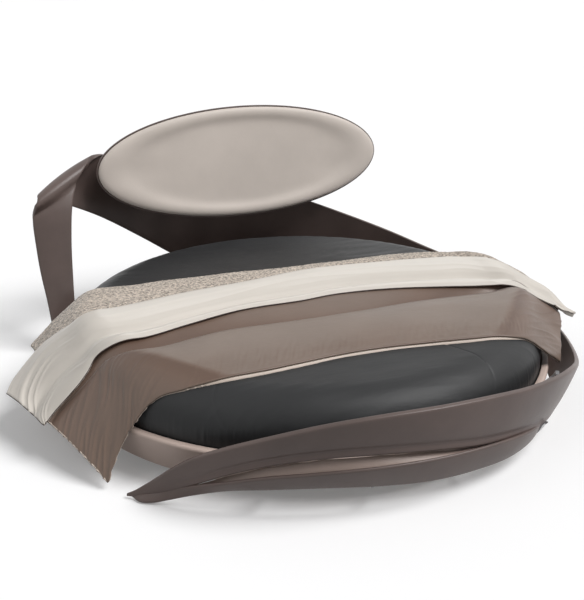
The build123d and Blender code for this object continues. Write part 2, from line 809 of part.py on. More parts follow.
def bracket_blank(angle):
    """Web, foot flange and pad of one bracket, before the ribbon is cut from it."""
    upper, lower, _ = ribbon_inner_at(angle)
    lean = (upper[0] - lower[0]) / (upper[1] - lower[1])
    pad_low = lower[1] + bracket_pad_depth
    pad_high = pad_low + bracket_pad_height

    def line_radius(height):
        return lower[0] + lean * (height - lower[1])

    top = rail_bottom - fit
    low = top - bracket_thickness
    clear = rail_foot_radius + bracket_thickness
    deep = ribbon_thickness
    web_points = [
        (rail_inner_radius, low),
        (clear + bracket_thickness, low),
        (line_radius(pad_low), pad_low),
        (line_radius(pad_high), pad_high),
        (line_radius(pad_high) - deep - bracket_pad_depth, pad_high),
        (clear, top),
        (rail_inner_radius, top),
    ]
    pad_points = [
        (line_radius(pad_low), pad_low),
        (line_radius(pad_high), pad_high),
        (line_radius(pad_high) - deep - bracket_pad_depth, pad_high),
        (line_radius(pad_low) - deep - bracket_pad_depth, pad_low),
    ]

    def plate(points, width):
        outline = Polyline(*[(radius, 0, height) for radius, height in points], close=True)
        face = Face(Wire(outline.edges()))
        return extrude(face, amount=width / 2, dir=(0, 1, 0), both=True)

    flange = Pos(rail_inner_radius, 0, low) * Box(
        rail_foot_radius - rail_inner_radius,
        bracket_width,
        bracket_thickness,
        align=(Align.MIN, Align.CENTER, Align.MIN),
    )
    blank = plate(web_points, bracket_thickness) + plate(pad_points, bracket_width) + flange
    return at_angle(blank, angle)


def build_brackets(ribbon_solids):
    """Brackets cut to the ribbon's inner face, with the bolts that hold them to the ring."""
    brackets = []
    bolts = []
    holes = []
    top = rail_bottom - fit
    seat_level = top - bracket_thickness - fit
    seat_radius = (rail_inner_radius + rail_foot_radius) / 2
    for angle in bracket_angles:
        bracket = bracket_blank(angle)
        for solid in ribbon_solids:
            bracket = bracket - solid
        pieces = sorted(bracket.solids(), key=lambda piece: piece.volume)
        bracket = pieces[-1]
        outward = polar(angle, 1, 0)
        sideways = Vector(-outward.Y, outward.X, 0)
        for side in (-1, 1):
            seat = outward * seat_radius + sideways * (side * bracket_bolt_spacing)
            seat = seat + Vector(0, 0, seat_level)
            grip = bracket_thickness + bolt_grip
            bolts.append(bolt(seat, (0, 0, 1), bolt_head_height, bolt_head, bolt_diameter, grip))
            bore = rod(seat, (0, 0, 1), grip + fit, bolt_diameter + 2 * fit)
            bracket = bracket - bore
            holes.append(bore)
        brackets.append(bracket)
    return brackets, bolts, holes


# Headboard

def headboard_plane():
    """Plane of the headboard's front rim, facing the foot of the bed."""
    origin = Vector(headboard_side_offset, headboard_setback, headboard_height)
    lean = math.radians(headboard_lean)
    normal = Vector(0, -math.cos(lean), math.sin(lean))
    plane = Plane(origin=origin, x_dir=(1, 0, 0), z_dir=normal)
    return plane.rotated((0, 0, headboard_roll))


def oval(inset, level):
    """Oval face set in from the headboard's outline, at a level along its normal."""
    shape = Ellipse(headboard_half_width - inset, headboard_half_height - inset)
    return Pos(0, 0, level) * shape


def oval_block(front_inset, back_inset, front, back):
    """Oval block that narrows towards the back."""
    return loft([oval(back_inset, back), oval(front_inset, front)], ruled=True)


def pad_solid():
    """Upholstered pad: rolled border round a shallow dished middle."""
    narrow = headboard_half_height - headboard_rim - pad_clearance
    wide = headboard_half_width - headboard_rim - pad_clearance
    back = headboard_back + headboard_board - headboard_depth + fit
    foot = narrow - headboard_taper * (headboard_depth - headboard_back) / headboard_depth
    roll = narrow * pad_roll_share
    dish = narrow * pad_dish_share
    with_line = Line((0, 0, back), (foot, 0, back))
    side = Line((foot, 0, back), (narrow, 0, 0))
    border = ThreePointArc(
        (narrow, 0, 0),
        (narrow * pad_side_share, 0, pad_roll_height * pad_dish_share),
        (roll, 0, pad_roll_height),
    )
    slope = ThreePointArc(
        (roll, 0, pad_roll_height),
        (narrow * pad_slope_share, 0, pad_roll_height - pad_dish / 3),
        (dish, 0, pad_roll_height - pad_dish),
    )
    middle = Line((dish, 0, pad_roll_height - pad_dish), (0, 0, pad_roll_height - pad_dish))
    axis_line = Line((0, 0, pad_roll_height - pad_dish), (0, 0, back))
    outline = Wire([piece.edge() for piece in (with_line, side, border, slope, middle, axis_line)])
    round_pad = revolve(Face(outline), axis=Axis.Z, revolution_arc=full_turn)
    return scale(round_pad, by=(wide / narrow, 1, 1))


def build_headboard(band_solids):
    """Shell, board, pad, arms, plates and bolts of the headboard."""
    plane = headboard_plane()
    back = -headboard_depth
    floor_level = back + headboard_back
    floor_inset = headboard_rim + headboard_taper * (headboard_depth - headboard_back) / headboard_depth
    shell = oval_block(0, headboard_taper, 0, back)
    shell = shell - oval_block(headboard_rim, floor_inset, 0, floor_level)
    board_front = floor_level + headboard_board
    board_inset = floor_inset + pad_clearance
    board = oval_block(board_inset, board_inset, board_front, floor_level)
    arms = []
    plates = []
    bolts = []
    holes = []
    plate_back = back - headboard_plate_thickness
    long_reach = headboard_setback
    middle = (Align.CENTER, Align.CENTER, Align.MAX)
    for across_share, up_share in zip(headboard_arm_across_shares, headboard_arm_up_shares):
        across = across_share * mattress_radius - headboard_side_offset
        up = up_share * headboard_half_height
        place = Pos(across, up, 0)
        plate = place * Pos(0, 0, back) * Box(
            headboard_plate, headboard_plate, headboard_plate_thickness, align=middle
        )
        offset = headboard_plate / 2 - headboard_bolt_inset
        for side_x in (-1, 1):
            for side_y in (-1, 1):
                seat = Vector(across + side_x * offset, up + side_y * offset, plate_back - fit)
                grip = headboard_plate_thickness + headboard_bolt_grip
                bolts.append(bolt(seat, (0, 0, 1), bolt_head_height, bolt_head, bolt_diameter, grip))
                bore = rod(seat, (0, 0, 1), grip + fit, bolt_diameter + 2 * fit)
                plate = plate - bore
                holes.append(bore)
        plates.append(plane * plate)
        arm = place * Pos(0, 0, plate_back) * Box(
            headboard_arm_width, headboard_arm_height, long_reach / 2, align=middle
        )
        arm = plane * arm
        for band in band_solids:
            arm = arm - band
        pieces = sorted(arm.solids(), key=lambda piece: piece.center().Y)
        arms.append(pieces[0])
    for bore in holes:
        shell = shell - bore
        board = board - bore
    return {
        "headboard_shell": plane * shell,
        "headboard_board": plane * board,
        "headboard_pad": plane * pad_solid(),
        "headboard_arms": joined(arms),
        "headboard_plates": joined(plates),
        "headboard_bolts": joined([plane * piece for piece in bolts]),
    }


# Mattress

def shoulder_point(inset, height):
    """Place on the mattress's rounded top edge at a height, drawn in by an inset."""
    centre_x = mattress_radius - mattress_edge_round
    centre_z = mattress_top - mattress_edge_round
    radius = mattress_edge_round - inset
    return (centre_x + math.sqrt(radius ** 2 - (height - centre_z) ** 2), 0, height)


def shoulder_arc(inset, start_height, end_height):
    """Part of the mattress's rounded top edge between two heights."""
    centre_x = mattress_radius - mattress_edge_round
    centre_z = mattress_top - mattress_edge_round
    radius = mattress_edge_round - inset
    turns = [math.asin((height - centre_z) / radius) for height in (start_height, end_height)]
    middle = sum(turns) / 2
    points = [
        (centre_x + radius * math.cos(turn), 0, centre_z + radius * math.sin(turn))
        for turn in (turns[0], middle, turns[1])
    ]
    return ThreePointArc(*points)


def crown_arc(inset):
    """The mattress's slightly crowned top, from its rounded edge to its axis."""
    edge_x = mattress_radius - mattress_edge_round
    top = mattress_top - inset
    crown = top + mattress_crown
    reach_x = edge_x * crown_reach_share
    middle_x = edge_x * crown_middle_share
    return Bezier((edge_x, 0, top), (reach_x, 0, top), (middle_x, 0, crown), (0, 0, crown))


def foot_arc(inset):
    """The mattress's small round at the bottom edge."""
    radius = mattress_foot_round - inset
    centre_x = mattress_radius - mattress_foot_round
    centre_z = mattress_seat + mattress_foot_round
    half = math.sqrt(2) / 2
    return ThreePointArc(
        (centre_x, 0, centre_z - radius),
        (centre_x + radius * half, 0, centre_z - radius * half),
        (centre_x + radius, 0, centre_z),
    )


def revolved(pieces):
    """Solid of revolution from the edges of its outline."""
    edges = [piece.edge() for piece in pieces]
    return revolve(Face(Wire(edges)), axis=Axis.Z, revolution_arc=full_turn)


def build_mattress():
    """Spring core, topper and fitted sheet."""
    inset = sheet_thickness + fit
    centre_z = mattress_top - mattress_edge_round
    foot_x = mattress_radius - mattress_foot_round
    foot_z = mattress_seat + mattress_foot_round
    split = mattress_top - topper_depth
    core = revolved([
        Line((0, 0, mattress_seat + inset), (foot_x, 0, mattress_seat + inset)),
        foot_arc(inset),
        Line((mattress_radius - inset, 0, foot_z), (mattress_radius - inset, 0, centre_z)),
        shoulder_arc(inset, centre_z, split),
        Line(shoulder_point(inset, split), (0, 0, split)),
        Line((0, 0, split), (0, 0, mattress_seat + inset)),
    ])
    topper = revolved([
        Line((0, 0, split + fit), shoulder_point(inset, split + fit)),
        shoulder_arc(inset, split + fit, mattress_top - inset),
        crown_arc(inset),
        Line((0, 0, mattress_top + mattress_crown - inset), (0, 0, split + fit)),
    ])
    tuck_x = mattress_radius - sheet_tuck
    wall = sheet_thickness
    sheet = revolved([
        Line((tuck_x, 0, mattress_seat), (foot_x, 0, mattress_seat)),
        foot_arc(0),
        Line((mattress_radius, 0, foot_z), (mattress_radius, 0, centre_z)),
        shoulder_arc(0, centre_z, mattress_top),
        crown_arc(0),
        Line((0, 0, mattress_top + mattress_crown), (0, 0, mattress_top + mattress_crown - wall)),
        crown_arc(wall),
        shoulder_arc(wall, centre_z, mattress_top - wall),
        Line((mattress_radius - wall, 0, centre_z), (mattress_radius - wall, 0, foot_z)),
        foot_arc(wall),
        Line((foot_x, 0, mattress_seat + wall), (tuck_x, 0, mattress_seat + wall)),
        Line((tuck_x, 0, mattress_seat + wall), (tuck_x, 0, mattress_seat)),
    ])
    return core, topper, sheet


# Bedding

def drape_solid(offset, hem, start):
    """Half of a dome over the mattress that runs tangent into a straight hang down to a hem."""
    reach, level = hem
    centre_x = mattress_radius - mattress_edge_round
    centre_z = mattress_top - mattress_edge_round
    round_top = mattress_edge_round + offset
    end_x = rail_lip_radius + reach + offset - soft_gap
    run = math.hypot(end_x - centre_x, level - centre_z)
    bearing = math.atan2(level - centre_z, end_x - centre_x)
    touch = bearing + math.acos(round_top / run)
    half_way = (touch + math.pi / 2) / 2
    crown = mattress_top + mattress_crown + offset
    top = mattress_top + offset
    reach_x = centre_x * crown_reach_share
    middle_x = centre_x * crown_middle_share
    touch_point = (centre_x + round_top * math.cos(touch), 0, centre_z + round_top * math.sin(touch))
    pieces = [
        Line((0, 0, level), (0, 0, crown)),
        Bezier((0, 0, crown), (middle_x, 0, crown), (reach_x, 0, top), (centre_x, 0, top)),
        ThreePointArc(
            (centre_x, 0, top),
            (centre_x + round_top * math.cos(half_way), 0, centre_z + round_top * math.sin(half_way)),
            touch_point,
        ),
        Line(touch_point, (end_x, 0, level)),
        Line((end_x, 0, level), (0, 0, level)),
    ]
    face = Face(Wire([piece.edge() for piece in pieces]))
    return at_angle(revolve(face, axis=Axis.Z, revolution_arc=half_turn), start)


def drape(offset, left_hem, right_hem):
    """Whole dome: the left half to its own hem, the right half to another."""
    left = drape_solid(offset, left_hem, quarter_turn)
    right = drape_solid(offset, right_hem, -quarter_turn)
    return left + right


def plan_prism(shares):
    """Tall block over a plan outline given in shares of the mattress radius."""
    points = [(across * mattress_radius, up * mattress_radius) for across, up in shares]
    face = Face(Wire(Polyline(*points, close=True).edges()))
    return extrude(face, amount=mattress_top * 2, dir=(0, 0, 1))


def moved_back(shares, distance):
    """The same outline points moved towards the foot of the bed."""
    return [(across, up - distance / mattress_radius) for across, up in shares]


def fold_ridge(line_share, thickness):
    """Long soft fold across the bed: a shallow round bar, part sunk in the cloth."""
    radius = (fold_ridge_width ** 2 / 4 + fold_ridge_height ** 2) / (2 * fold_ridge_height)
    top = mattress_top + mattress_crown + soft_gap + thickness + fold_ridge_height
    centre = Vector(-mattress_radius, line_share * mattress_radius, top - radius)
    return rod(centre, (1, 0, 0), 2 * mattress_radius, 2 * radius)


def cloth(outline, thickness, left_hem, right_hem, fold_shares):
    """One layer of bedding over the mattress, with its long folds and hanging ends."""
    inside = drape(soft_gap, left_hem, right_hem)
    outside = drape(soft_gap + thickness, left_hem, right_hem)
    high = drape(soft_gap + thickness + fold_ridge_height, left_hem, right_hem)
    for share in fold_shares:
        outside = outside + (fold_ridge(share, thickness) & high)
    return (outside & plan_prism(outline)) - inside


def build_bedding():
    """Throw, coverlet and quilt, side by side across the bed."""
    coverlet_rear = moved_back(coverlet_rear_shares, outline_gap)
    quilt_rear = moved_back(quilt_rear_shares, outline_gap)
    throw_outline = throw_rear_shares + coverlet_rear_shares[::-1]
    coverlet_outline = coverlet_rear + coverlet_right_shares + quilt_rear_shares[::-1]
    coverlet_outline += coverlet_left_shares[::-1]
    quilt_outline = quilt_rear + quilt_front_shares
    throw = cloth(throw_outline, throw_thickness, throw_left_hem, throw_right_hem, [])
    coverlet = cloth(
        coverlet_outline, coverlet_thickness, coverlet_left_hem, coverlet_right_hem, coverlet_fold_shares
    )
    quilt = cloth(quilt_outline, quilt_thickness, quilt_left_hem, quilt_right_hem, quilt_fold_shares)
    return throw, coverlet, quilt


def main():
    os.makedirs("parts", exist_ok=True)

    lengths, seams = build_ribbon()
    save(seam_dowels(lengths, seams), "seam_dowels")
    lower_leaf, ledge = build_lower_leaf()
    for name, solid in lengths.items():
        save(solid, "ribbon_" + name)
    save(lower_leaf, "ribbon_lower_leaf")
    save(ledge, "ribbon_ledge")

    ribbon_solids = [lower_leaf, lengths["front_leaf"], lengths["right_bend"], lengths["rear_waist"],
                     lengths["back_band"]]
    brackets, bracket_bolts, bracket_holes = build_brackets(ribbon_solids)
    save(joined(brackets), "ribbon_brackets")
    save(joined(bracket_bolts), "ribbon_bracket_bolts")

    base = build_base()
    holes = base["holes"] + bracket_holes
    for index, start in enumerate(quarter_angles(rail_joint_angle)):
        rail = ring_piece(wood_profile(), start, quarter_turn)
        for hole in holes:
            rail = rail - hole
        save(rail, "ring_rail_" + str(index + 1))
        save(ring_piece(cover_profile(), start, quarter_turn), "ring_cover_" + str(index + 1))
    save(joined(base["plates"]), "rail_joint_plates")
    save(joined(base["plate_bolts"]), "rail_joint_bolts")
    save(joined(base["hangers"]), "beam_hangers")
    save(joined(base["hanger_bolts"]), "beam_hanger_bolts")
    save(base["long_beam"], "long_beam")
    save(joined(base["cross_beams"]), "cross_beams")
    save(joined(base["beam_angles"]), "beam_angles")
    save(joined(base["beam_angle_bolts"]), "beam_angle_bolts")
    save(joined(base["slats"]), "slats")
    save(joined(base["slat_screws"]), "slat_screws")

    quarters, glides, foot, foot_pad = build_plinth()
    for index, quarter in enumerate(quarters):
        save(quarter, "plinth_quarter_" + str(index + 1))
    save(joined(glides), "plinth_glides")
    save(foot, "centre_foot")
    save(foot_pad, "centre_foot_glide")

    for name, shape in build_headboard([lengths["back_rise"], lengths["back_band"]]).items():
        save(shape, name)

    core, topper, sheet = build_mattress()
    save(core, "mattress_core")
    save(topper, "mattress_topper")
    save(sheet, "fitted_sheet")

    throw, coverlet, quilt = build_bedding()
    save(throw, "boucle_throw")
    save(coverlet, "satin_coverlet")
    save(quilt, "satin_quilt")

    leg_low = ribbon_point(*left_leg_shares[-1][:3])
    leg_high = ribbon_point(*left_leg_shares[-1][3:])
    middle = (leg_low + leg_high) / 2
    across = leg_high - leg_low
    plate = Box(
        across.length + 2 * foot_plate_border,
        ribbon_thickness + 2 * foot_plate_border,
        foot_plate_thickness,
        align=(Align.CENTER, Align.CENTER, Align.MIN),
    )
    turn = math.degrees(math.atan2(across.Y, across.X))
    save(Pos(middle.X, middle.Y, 0) * Rot(0, 0, turn) * plate, "leg_foot_plate")


main()
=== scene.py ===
"""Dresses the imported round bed: leather, padding, bedding, floor, light and camera."""

import json
import math

import bmesh
import bpy
import numpy as np
from bpy.props import FloatProperty, FloatVectorProperty, IntProperty, PointerProperty
from mathutils import Matrix, Vector, noise


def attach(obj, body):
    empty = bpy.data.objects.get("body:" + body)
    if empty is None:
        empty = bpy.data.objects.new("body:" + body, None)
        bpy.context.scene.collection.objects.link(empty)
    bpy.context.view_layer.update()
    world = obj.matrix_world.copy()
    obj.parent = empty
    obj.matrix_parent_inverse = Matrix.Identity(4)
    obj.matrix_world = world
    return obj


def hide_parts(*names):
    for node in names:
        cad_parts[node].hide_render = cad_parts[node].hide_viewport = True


bl_info = {
    "name": "Round Bed Dresser",
    "version": (1, 0, 0),
    "blender": (4, 5, 0),
    "location": "3D View > Sidebar > Round Bed",
    "description": "Covers the packed round bed with leather, padding and bedding",
    "category": "Object",
}

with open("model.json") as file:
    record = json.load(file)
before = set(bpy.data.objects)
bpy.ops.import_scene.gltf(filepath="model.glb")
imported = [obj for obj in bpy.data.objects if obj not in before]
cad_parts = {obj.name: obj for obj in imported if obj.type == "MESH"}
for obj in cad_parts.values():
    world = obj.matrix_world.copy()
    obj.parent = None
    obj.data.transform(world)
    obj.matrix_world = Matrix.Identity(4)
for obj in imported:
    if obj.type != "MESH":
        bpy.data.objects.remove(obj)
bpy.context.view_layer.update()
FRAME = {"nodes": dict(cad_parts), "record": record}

# Mattress and base, in metres
MATTRESS_RADIUS = 1.050
MATTRESS_SEAT = 0.150
MATTRESS_TOP = 0.393
MATTRESS_CROWN = 0.007
EDGE_ROUND = 0.164
SHEET_THICKNESS = 0.0025
SHEET_TUCK_RADIUS = 0.900
BASE_LIP_RADIUS = 1.085
BASE_FOOT_RADIUS = 1.046
BASE_BOTTOM = 0.060
BASE_TOP = 0.195
BASE_REBATE_RADIUS = 1.056
BASE_SKIN = 0.003
BASE_SEAMS = (20.0, 110.0, 200.0, 290.0)
BASE_SEAM_DEPTH = 0.0022
BASE_SEAM_WIDTH = 0.004
BASE_LIP_DROP = 0.013
BASE_LIP_ROUND = 0.011
BASE_PUFF = 0.0018
BASE_SIDE_STEPS = 14
BASE_LIP_STEPS = 7
BASE_STEPS_ROUND = 900
MATTRESS_FOOT_ROUND = 0.015
MATTRESS_STEPS_ROUND = 1440
TICKING_STEP = 6
TICKING_GAP = 0.0004
SOFT_GAP = 0.0006

# Ribbon
RIBBON_REACH = 0.100
RIBBON_RISE = 0.900
RIBBON_THICKNESS = 0.022
RIBBON_BOW = 0.035
RIBBON_EDGE_ROUND = 0.0065
LEAF_THICKNESS = 0.012
LEDGE_THICKNESS = 0.006
FOLD_RADIUS_HIGH = 0.036
FOLD_RADIUS_LOW = 0.020
FOLD_SLIDE_START = -0.0707
FOLD_SLIDE_END = 0.185
FOLD_LOW_SLIDE_END = 0.050
FOLD_SQUARE = 0.72
FOLD_STEPS = 26
FOOT_PLATE = 0.003
FOOT_GAP = 0.0002
STATION_SPACING = 0.012
ROLL_HEIGHT = 0.007
ROLL_PLACE, ROLL_WIDTH = 0.012, 0.010
GROOVE_SHARE = 0.45
GROOVE_PLACE, GROOVE_WIDTH = 0.036, 0.009
ROLL_STARTS, ROLL_FULL, ROLL_FADE = 0.10, 0.45, 0.35
LEDGE_START, LEDGE_END, LEDGE_STATIONS = -131.0, -64.0, 90
LEDGE_LIP_DROP = 0.010
LEDGE_CREASE_DROP = 0.012
LEDGE_BOW = 0.01

# Rows of the ribbon: angle, reach share and height share of the upper edge, the same of the lower
# edge, then the thickness share. A row of the lower leaf has one angle and no thickness share.
FRONT_LEAF_ROWS = [
    (-143.2, 1.22, 0.022, -143.2, 1.24, 0.010, 0.30),
    (-142.0, 1.14, 0.038, -142.0, 1.19, 0.013, 0.36),
    (-140.0, 0.99, 0.073, -140.0, 1.07, 0.024, 0.45),
    (-137.5, 0.96, 0.120, -137.5, 0.90, 0.042, 0.60),
    (-135.0, 0.95, 0.168, -135.0, 0.80, 0.068, 0.75),
    (-131.0, 0.95, 0.234, -131.0, 0.70, 0.108, 0.90),
    (-125.0, 0.95, 0.302, -125.0, 0.65, 0.174, 1.0),
    (-118.0, 0.95, 0.361, -118.0, 0.60, 0.228, 1.0),
    (-108.0, 0.95, 0.422, -108.0, 0.57, 0.264, 1.0),
    (-98.0, 0.955, 0.449, -98.0, 0.56, 0.264, 1.0),
    (-88.0, 0.965, 0.450, -88.0, 0.58, 0.243, 1.0),
    (-78.0, 1.00, 0.438, -78.0, 0.62, 0.207, 1.0),
    (-68.0, 1.08, 0.411, -68.0, 0.64, 0.173, 1.0),
    (-58.0, 1.13, 0.378, -58.0, 0.55, 0.131, 1.0),
    (-48.0, 1.15, 0.333, -48.0, 0.43, 0.096, 1.0),
]
BAND_ROWS = [
    (-40.0, 1.13, 0.280, -40.0, 0.36, 0.092, 1.0),
    (-30.0, 1.10, 0.239, -30.0, 0.20, 0.086, 1.0),
    (-19.0, 1.12, 0.222, -19.0, 0.14, 0.084, 1.0),
    (-8.0, 1.15, 0.228, -8.0, 0.27, 0.090, 1.0),
    (5.0, 1.15, 0.250, 5.0, 0.40, 0.096, 1.0),
    (15.0, 1.16, 0.274, 15.0, 0.50, 0.099, 1.0),
    (25.0, 1.17, 0.308, 25.0, 0.55, 0.100, 1.0),
    (35.0, 1.18, 0.350, 35.0, 0.60, 0.101, 1.0),
    (45.0, 1.19, 0.411, 45.0, 0.65, 0.102, 1.0),
    (56.0, 1.25, 0.484, 57.0, 0.75, 0.102, 1.0),
    (67.3, 1.32, 0.569, 71.0, 0.90, 0.102, 1.0),
    (79.0, 1.40, 0.663, 85.0, 1.10, 0.104, 1.0),
    (89.0, 1.47, 0.740, 95.5, 1.33, 0.144, 1.0),
    (98.0, 1.55, 0.812, 104.0, 1.56, 0.285, 1.0),
    (107.0, 1.68, 0.880, 113.5, 1.72, 0.449, 1.0),
    (114.5, 1.88, 0.928, 124.0, 2.03, 0.620, 1.0),
]
FOLD_AXIS = ((123.3, 1.76, 0.927), (139.1, 2.56, 0.787))
LEG_ROWS = [
    (132.3, 1.64, 0.821, 141.0, 2.76, 0.722, 1.0),
    (134.1, 1.52, 0.759, 141.3, 2.75, 0.689, 1.0),
    (137.2, 1.27, 0.584, 142.3, 2.56, 0.556, 1.0),
    (140.2, 0.95, 0.382, 143.7, 2.23, 0.400, 1.0),
    (141.5, 0.81, 0.307, 144.9, 1.91, 0.291, 1.0),
    (143.0, 0.68, 0.150, 146.4, 1.56, 0.140, 1.0),
    (144.4, 0.58, 0.0034, 147.9, 1.21, 0.0034, 1.0),
]
LOWER_LEAF_ROWS = [
    (-142.2, 1.16, 0.016, 1.19, 0.010),
    (-140.5, 1.10, 0.030, 1.27, 0.005),
    (-138.0, 0.92, 0.046, 1.14, 0.010),
    (-135.5, 0.82, 0.072, 0.95, 0.026),
    (-131.0, 0.86, 0.112, 0.78, 0.063),
    (-125.0, 0.92, 0.154, 0.60, 0.098),
    (-118.0, 0.92, 0.193, 0.48, 0.112),
    (-108.0, 0.92, 0.219, 0.41, 0.120),
    (-98.0, 0.92, 0.227, 0.40, 0.109),
    (-88.0, 0.92, 0.224, 0.45, 0.093),
    (-78.0, 0.92, 0.213, 0.55, 0.087),
    (-68.0, 0.92, 0.190, 0.61, 0.080),
    (-62.0, 0.80, 0.165, 0.58, 0.085),
    (-57.0, 0.60, 0.145, 0.48, 0.096),
    (-52.0, 0.40, 0.132, 0.36, 0.112),
    (-48.0, 0.28, 0.126, 0.26, 0.116),
]

# Headboard
HEAD_HALF_WIDTH = 0.782
HEAD_HALF_HEIGHT = 0.287
HEAD_CENTRE = (0.058, 1.000, 0.794)
HEAD_LEAN = 10.0
HEAD_TURN = 2.8
HEAD_DEPTH = 0.060
HEAD_RIM = 0.008
HEAD_TAPER = 0.028
HEAD_BACK_SKIN = 0.0015
HEAD_FLOOR = 0.010
HEAD_FLOOR_INSET = 0.024
HEAD_BACK_INSET = 0.002
HEAD_EDGE_ROUND = 0.0025
PAD_GAP = 0.001
PAD_WAVE, PAD_WAVES, PAD_WAVE_START, PAD_WAVE_SHARE = 0.0006, 9.0, 1.3, 0.6
# Pad from its foot over the rolled border to its middle: share of the oval's radius, and level.
PAD_PROFILE = [
    (0.93, -0.0345), (0.965, -0.020), (0.993, -0.004), (1.0, 0.002), (0.999, 0.007), (0.993, 0.0125),
    (0.980, 0.0175), (0.962, 0.0210), (0.935, 0.0235), (0.905, 0.0245), (0.875, 0.0240), (0.845, 0.0222),
    (0.815, 0.0195), (0.785, 0.0168), (0.755, 0.0147), (0.725, 0.0134), (0.690, 0.0127), (0.640, 0.0125),
    (0.55, 0.0128), (0.42, 0.0134), (0.25, 0.0139), (0.10, 0.0140), (0.02, 0.0140),
]

# Sheet: seams as angles at its foot and at its top, and the depth of each kind of crease.
SHEET_SEAMS = ((-125.0, -131.0), (-70.0, -65.0), (0.0, 0.0), (180.0, 180.0))
SHEET_SEAM_DEPTH = 0.0022
SHEET_SEAM_WIDTH = 0.0035
SHEET_GATHER_DEPTH = 0.0075
SHEET_RIPPLE_DEPTH = 0.0016
SHEET_WRINKLE_DEPTH = 0.0030

# Bedding ribs across the bed, left to right: rear x and y, front x and y, in metres.
THROW_RIBS = [
    (-1.165, 0.290, -1.155, 0.120),
    (-1.100, 0.335, -1.092, 0.140),
    (-1.020, 0.355, -1.000, 0.060),
    (-0.930, 0.362, -0.930, 0.045),
    (-0.842, 0.366, -0.831, 0.045),
    (-0.689, 0.347, -0.661, 0.075),
    (-0.423, 0.342, -0.400, 0.115),
    (-0.150, 0.315, -0.130, 0.150),
    (0.104, 0.301, 0.100, 0.175),
    (0.310, 0.302, 0.300, 0.175),
    (0.518, 0.313, 0.500, 0.165),
    (0.680, 0.305, 0.660, 0.145),
    (0.825, 0.272, 0.800, 0.110),
    (0.930, 0.180, 0.900, 0.050),
    (1.010, 0.080, 0.980, -0.020),
    (1.045, -0.010, 1.020, -0.100),
    (1.075, -0.090, 1.050, -0.180),
    (1.120, -0.180, 1.100, -0.260),
]
COVERLET_RIBS = [
    (-1.301, -0.064, -1.190, -0.367),
    (-1.262, 0.010, -1.175, -0.362),
    (-1.200, 0.075, -1.147, -0.352),
    (-1.130, 0.110, -1.100, -0.345),
    (-1.060, 0.105, -1.050, -0.335),
    (-0.993, 0.075, -1.005, -0.315),
    (-0.900, 0.060, -0.961, -0.290),
    (-0.831, 0.057, -0.900, -0.300),
    (-0.661, 0.088, -0.780, -0.308),
    (-0.482, 0.125, -0.600, -0.250),
    (-0.202, 0.156, -0.350, -0.182),
    (0.065, 0.202, -0.083, -0.173),
    (0.260, 0.205, 0.103, -0.153),
    (0.558, 0.187, 0.374, -0.176),
    (0.700, 0.170, 0.550, -0.215),
    (0.853, 0.139, 0.700, -0.258),
    (0.950, 0.060, 0.800, -0.286),
    (1.020, -0.030, 0.893, -0.312),
    (1.060, -0.110, 0.960, -0.335),
    (1.085, -0.180, 1.035, -0.377),
    (1.140, -0.290, 1.100, -0.392),
    (1.200, -0.360, 1.175, -0.378),
]
QUILT_RIBS = [
    (-1.183, -0.345, -1.024, -0.647),
    (-1.140, -0.325, -0.985, -0.623),
    (-1.075, -0.315, -0.945, -0.607),
    (-1.020, -0.295, -0.903, -0.605),
    (-0.970, -0.262, -0.860, -0.609),
    (-0.900, -0.262, -0.810, -0.626),
    (-0.800, -0.270, -0.733, -0.666),
    (-0.660, -0.238, -0.620, -0.698),
    (-0.445, -0.160, -0.450, -0.702),
    (-0.250, -0.145, -0.285, -0.686),
    (-0.083, -0.138, -0.100, -0.668),
    (0.103, -0.120, 0.100, -0.670),
    (0.300, -0.130, 0.290, -0.692),
    (0.500, -0.165, 0.460, -0.715),
    (0.660, -0.210, 0.600, -0.727),
    (0.790, -0.250, 0.690, -0.714),
    (0.890, -0.262, 0.760, -0.697),
    (0.980, -0.280, 0.820, -0.692),
    (1.060, -0.305, 0.872, -0.672),
    (1.125, -0.335, 0.919, -0.657),
]
# Hems, left and right: reach past the ring and level, at the rear edge and at the front edge.
THROW_HEMS = (((0.080, 0.230), (0.080, 0.230)), ((0.090, 0.290), (0.090, 0.290)))
COVERLET_HEMS = (((0.217, 0.150), (0.150, 0.150)), ((0.165, 0.250), (0.165, 0.250)))
QUILT_HEMS = (((0.150, 0.150), (0.115, 0.037)), ((0.120, 0.260), (0.044, 0.190)))

# Lift of each layer from its rear edge (0) to its front edge (1), in metres.
THROW_LIFT = ((0.0, 0.0), (0.04, 0.014), (0.10, 0.022), (0.25, 0.027), (0.60, 0.025), (1.0, 0.018))
COVERLET_LIFT = (
    (0.0, 0.034), (0.06, 0.043), (0.20, 0.049), (0.40, 0.046), (0.55, 0.034), (0.66, 0.013),
    (0.73, 0.021), (0.82, 0.039), (0.92, 0.046), (1.0, 0.040),
)
# Place of the quilt's long crease between its rear and front edge, along x.
QUILT_CREASE = (
    (-1.10, 0.04), (-1.02, 0.08), (-0.94, 0.17), (-0.82, 0.25), (-0.61, 0.235), (-0.36, 0.285),
    (-0.14, 0.33), (0.13, 0.345), (0.42, 0.25), (0.71, 0.14), (0.91, 0.03), (1.10, 0.01),
)
QUILT_REAR_LIFT = 0.036
QUILT_LOFT = 0.034
QUILT_FRONT_LIFT = (
    (0.0, 0.001), (0.02, 0.011), (0.08, 0.024), (0.22, 0.032), (0.42, 0.033), (0.62, 0.028), (0.80, 0.019),
    (0.93, 0.011), (1.0, 0.007),
)
# How far each layer stands out where it turns down over the edge, at the left and at the right, and
# the radii between which it stops doing so.
BULGE_START, BULGE_FULL = 0.88, 0.99
THROW_BULGE = (0.012, 0.046, 1.06, 1.17)
COVERLET_BULGE = (0.006, 0.036, 1.10, 1.22)
QUILT_BULGE = (0.003, 0.026, 1.10, 1.22)
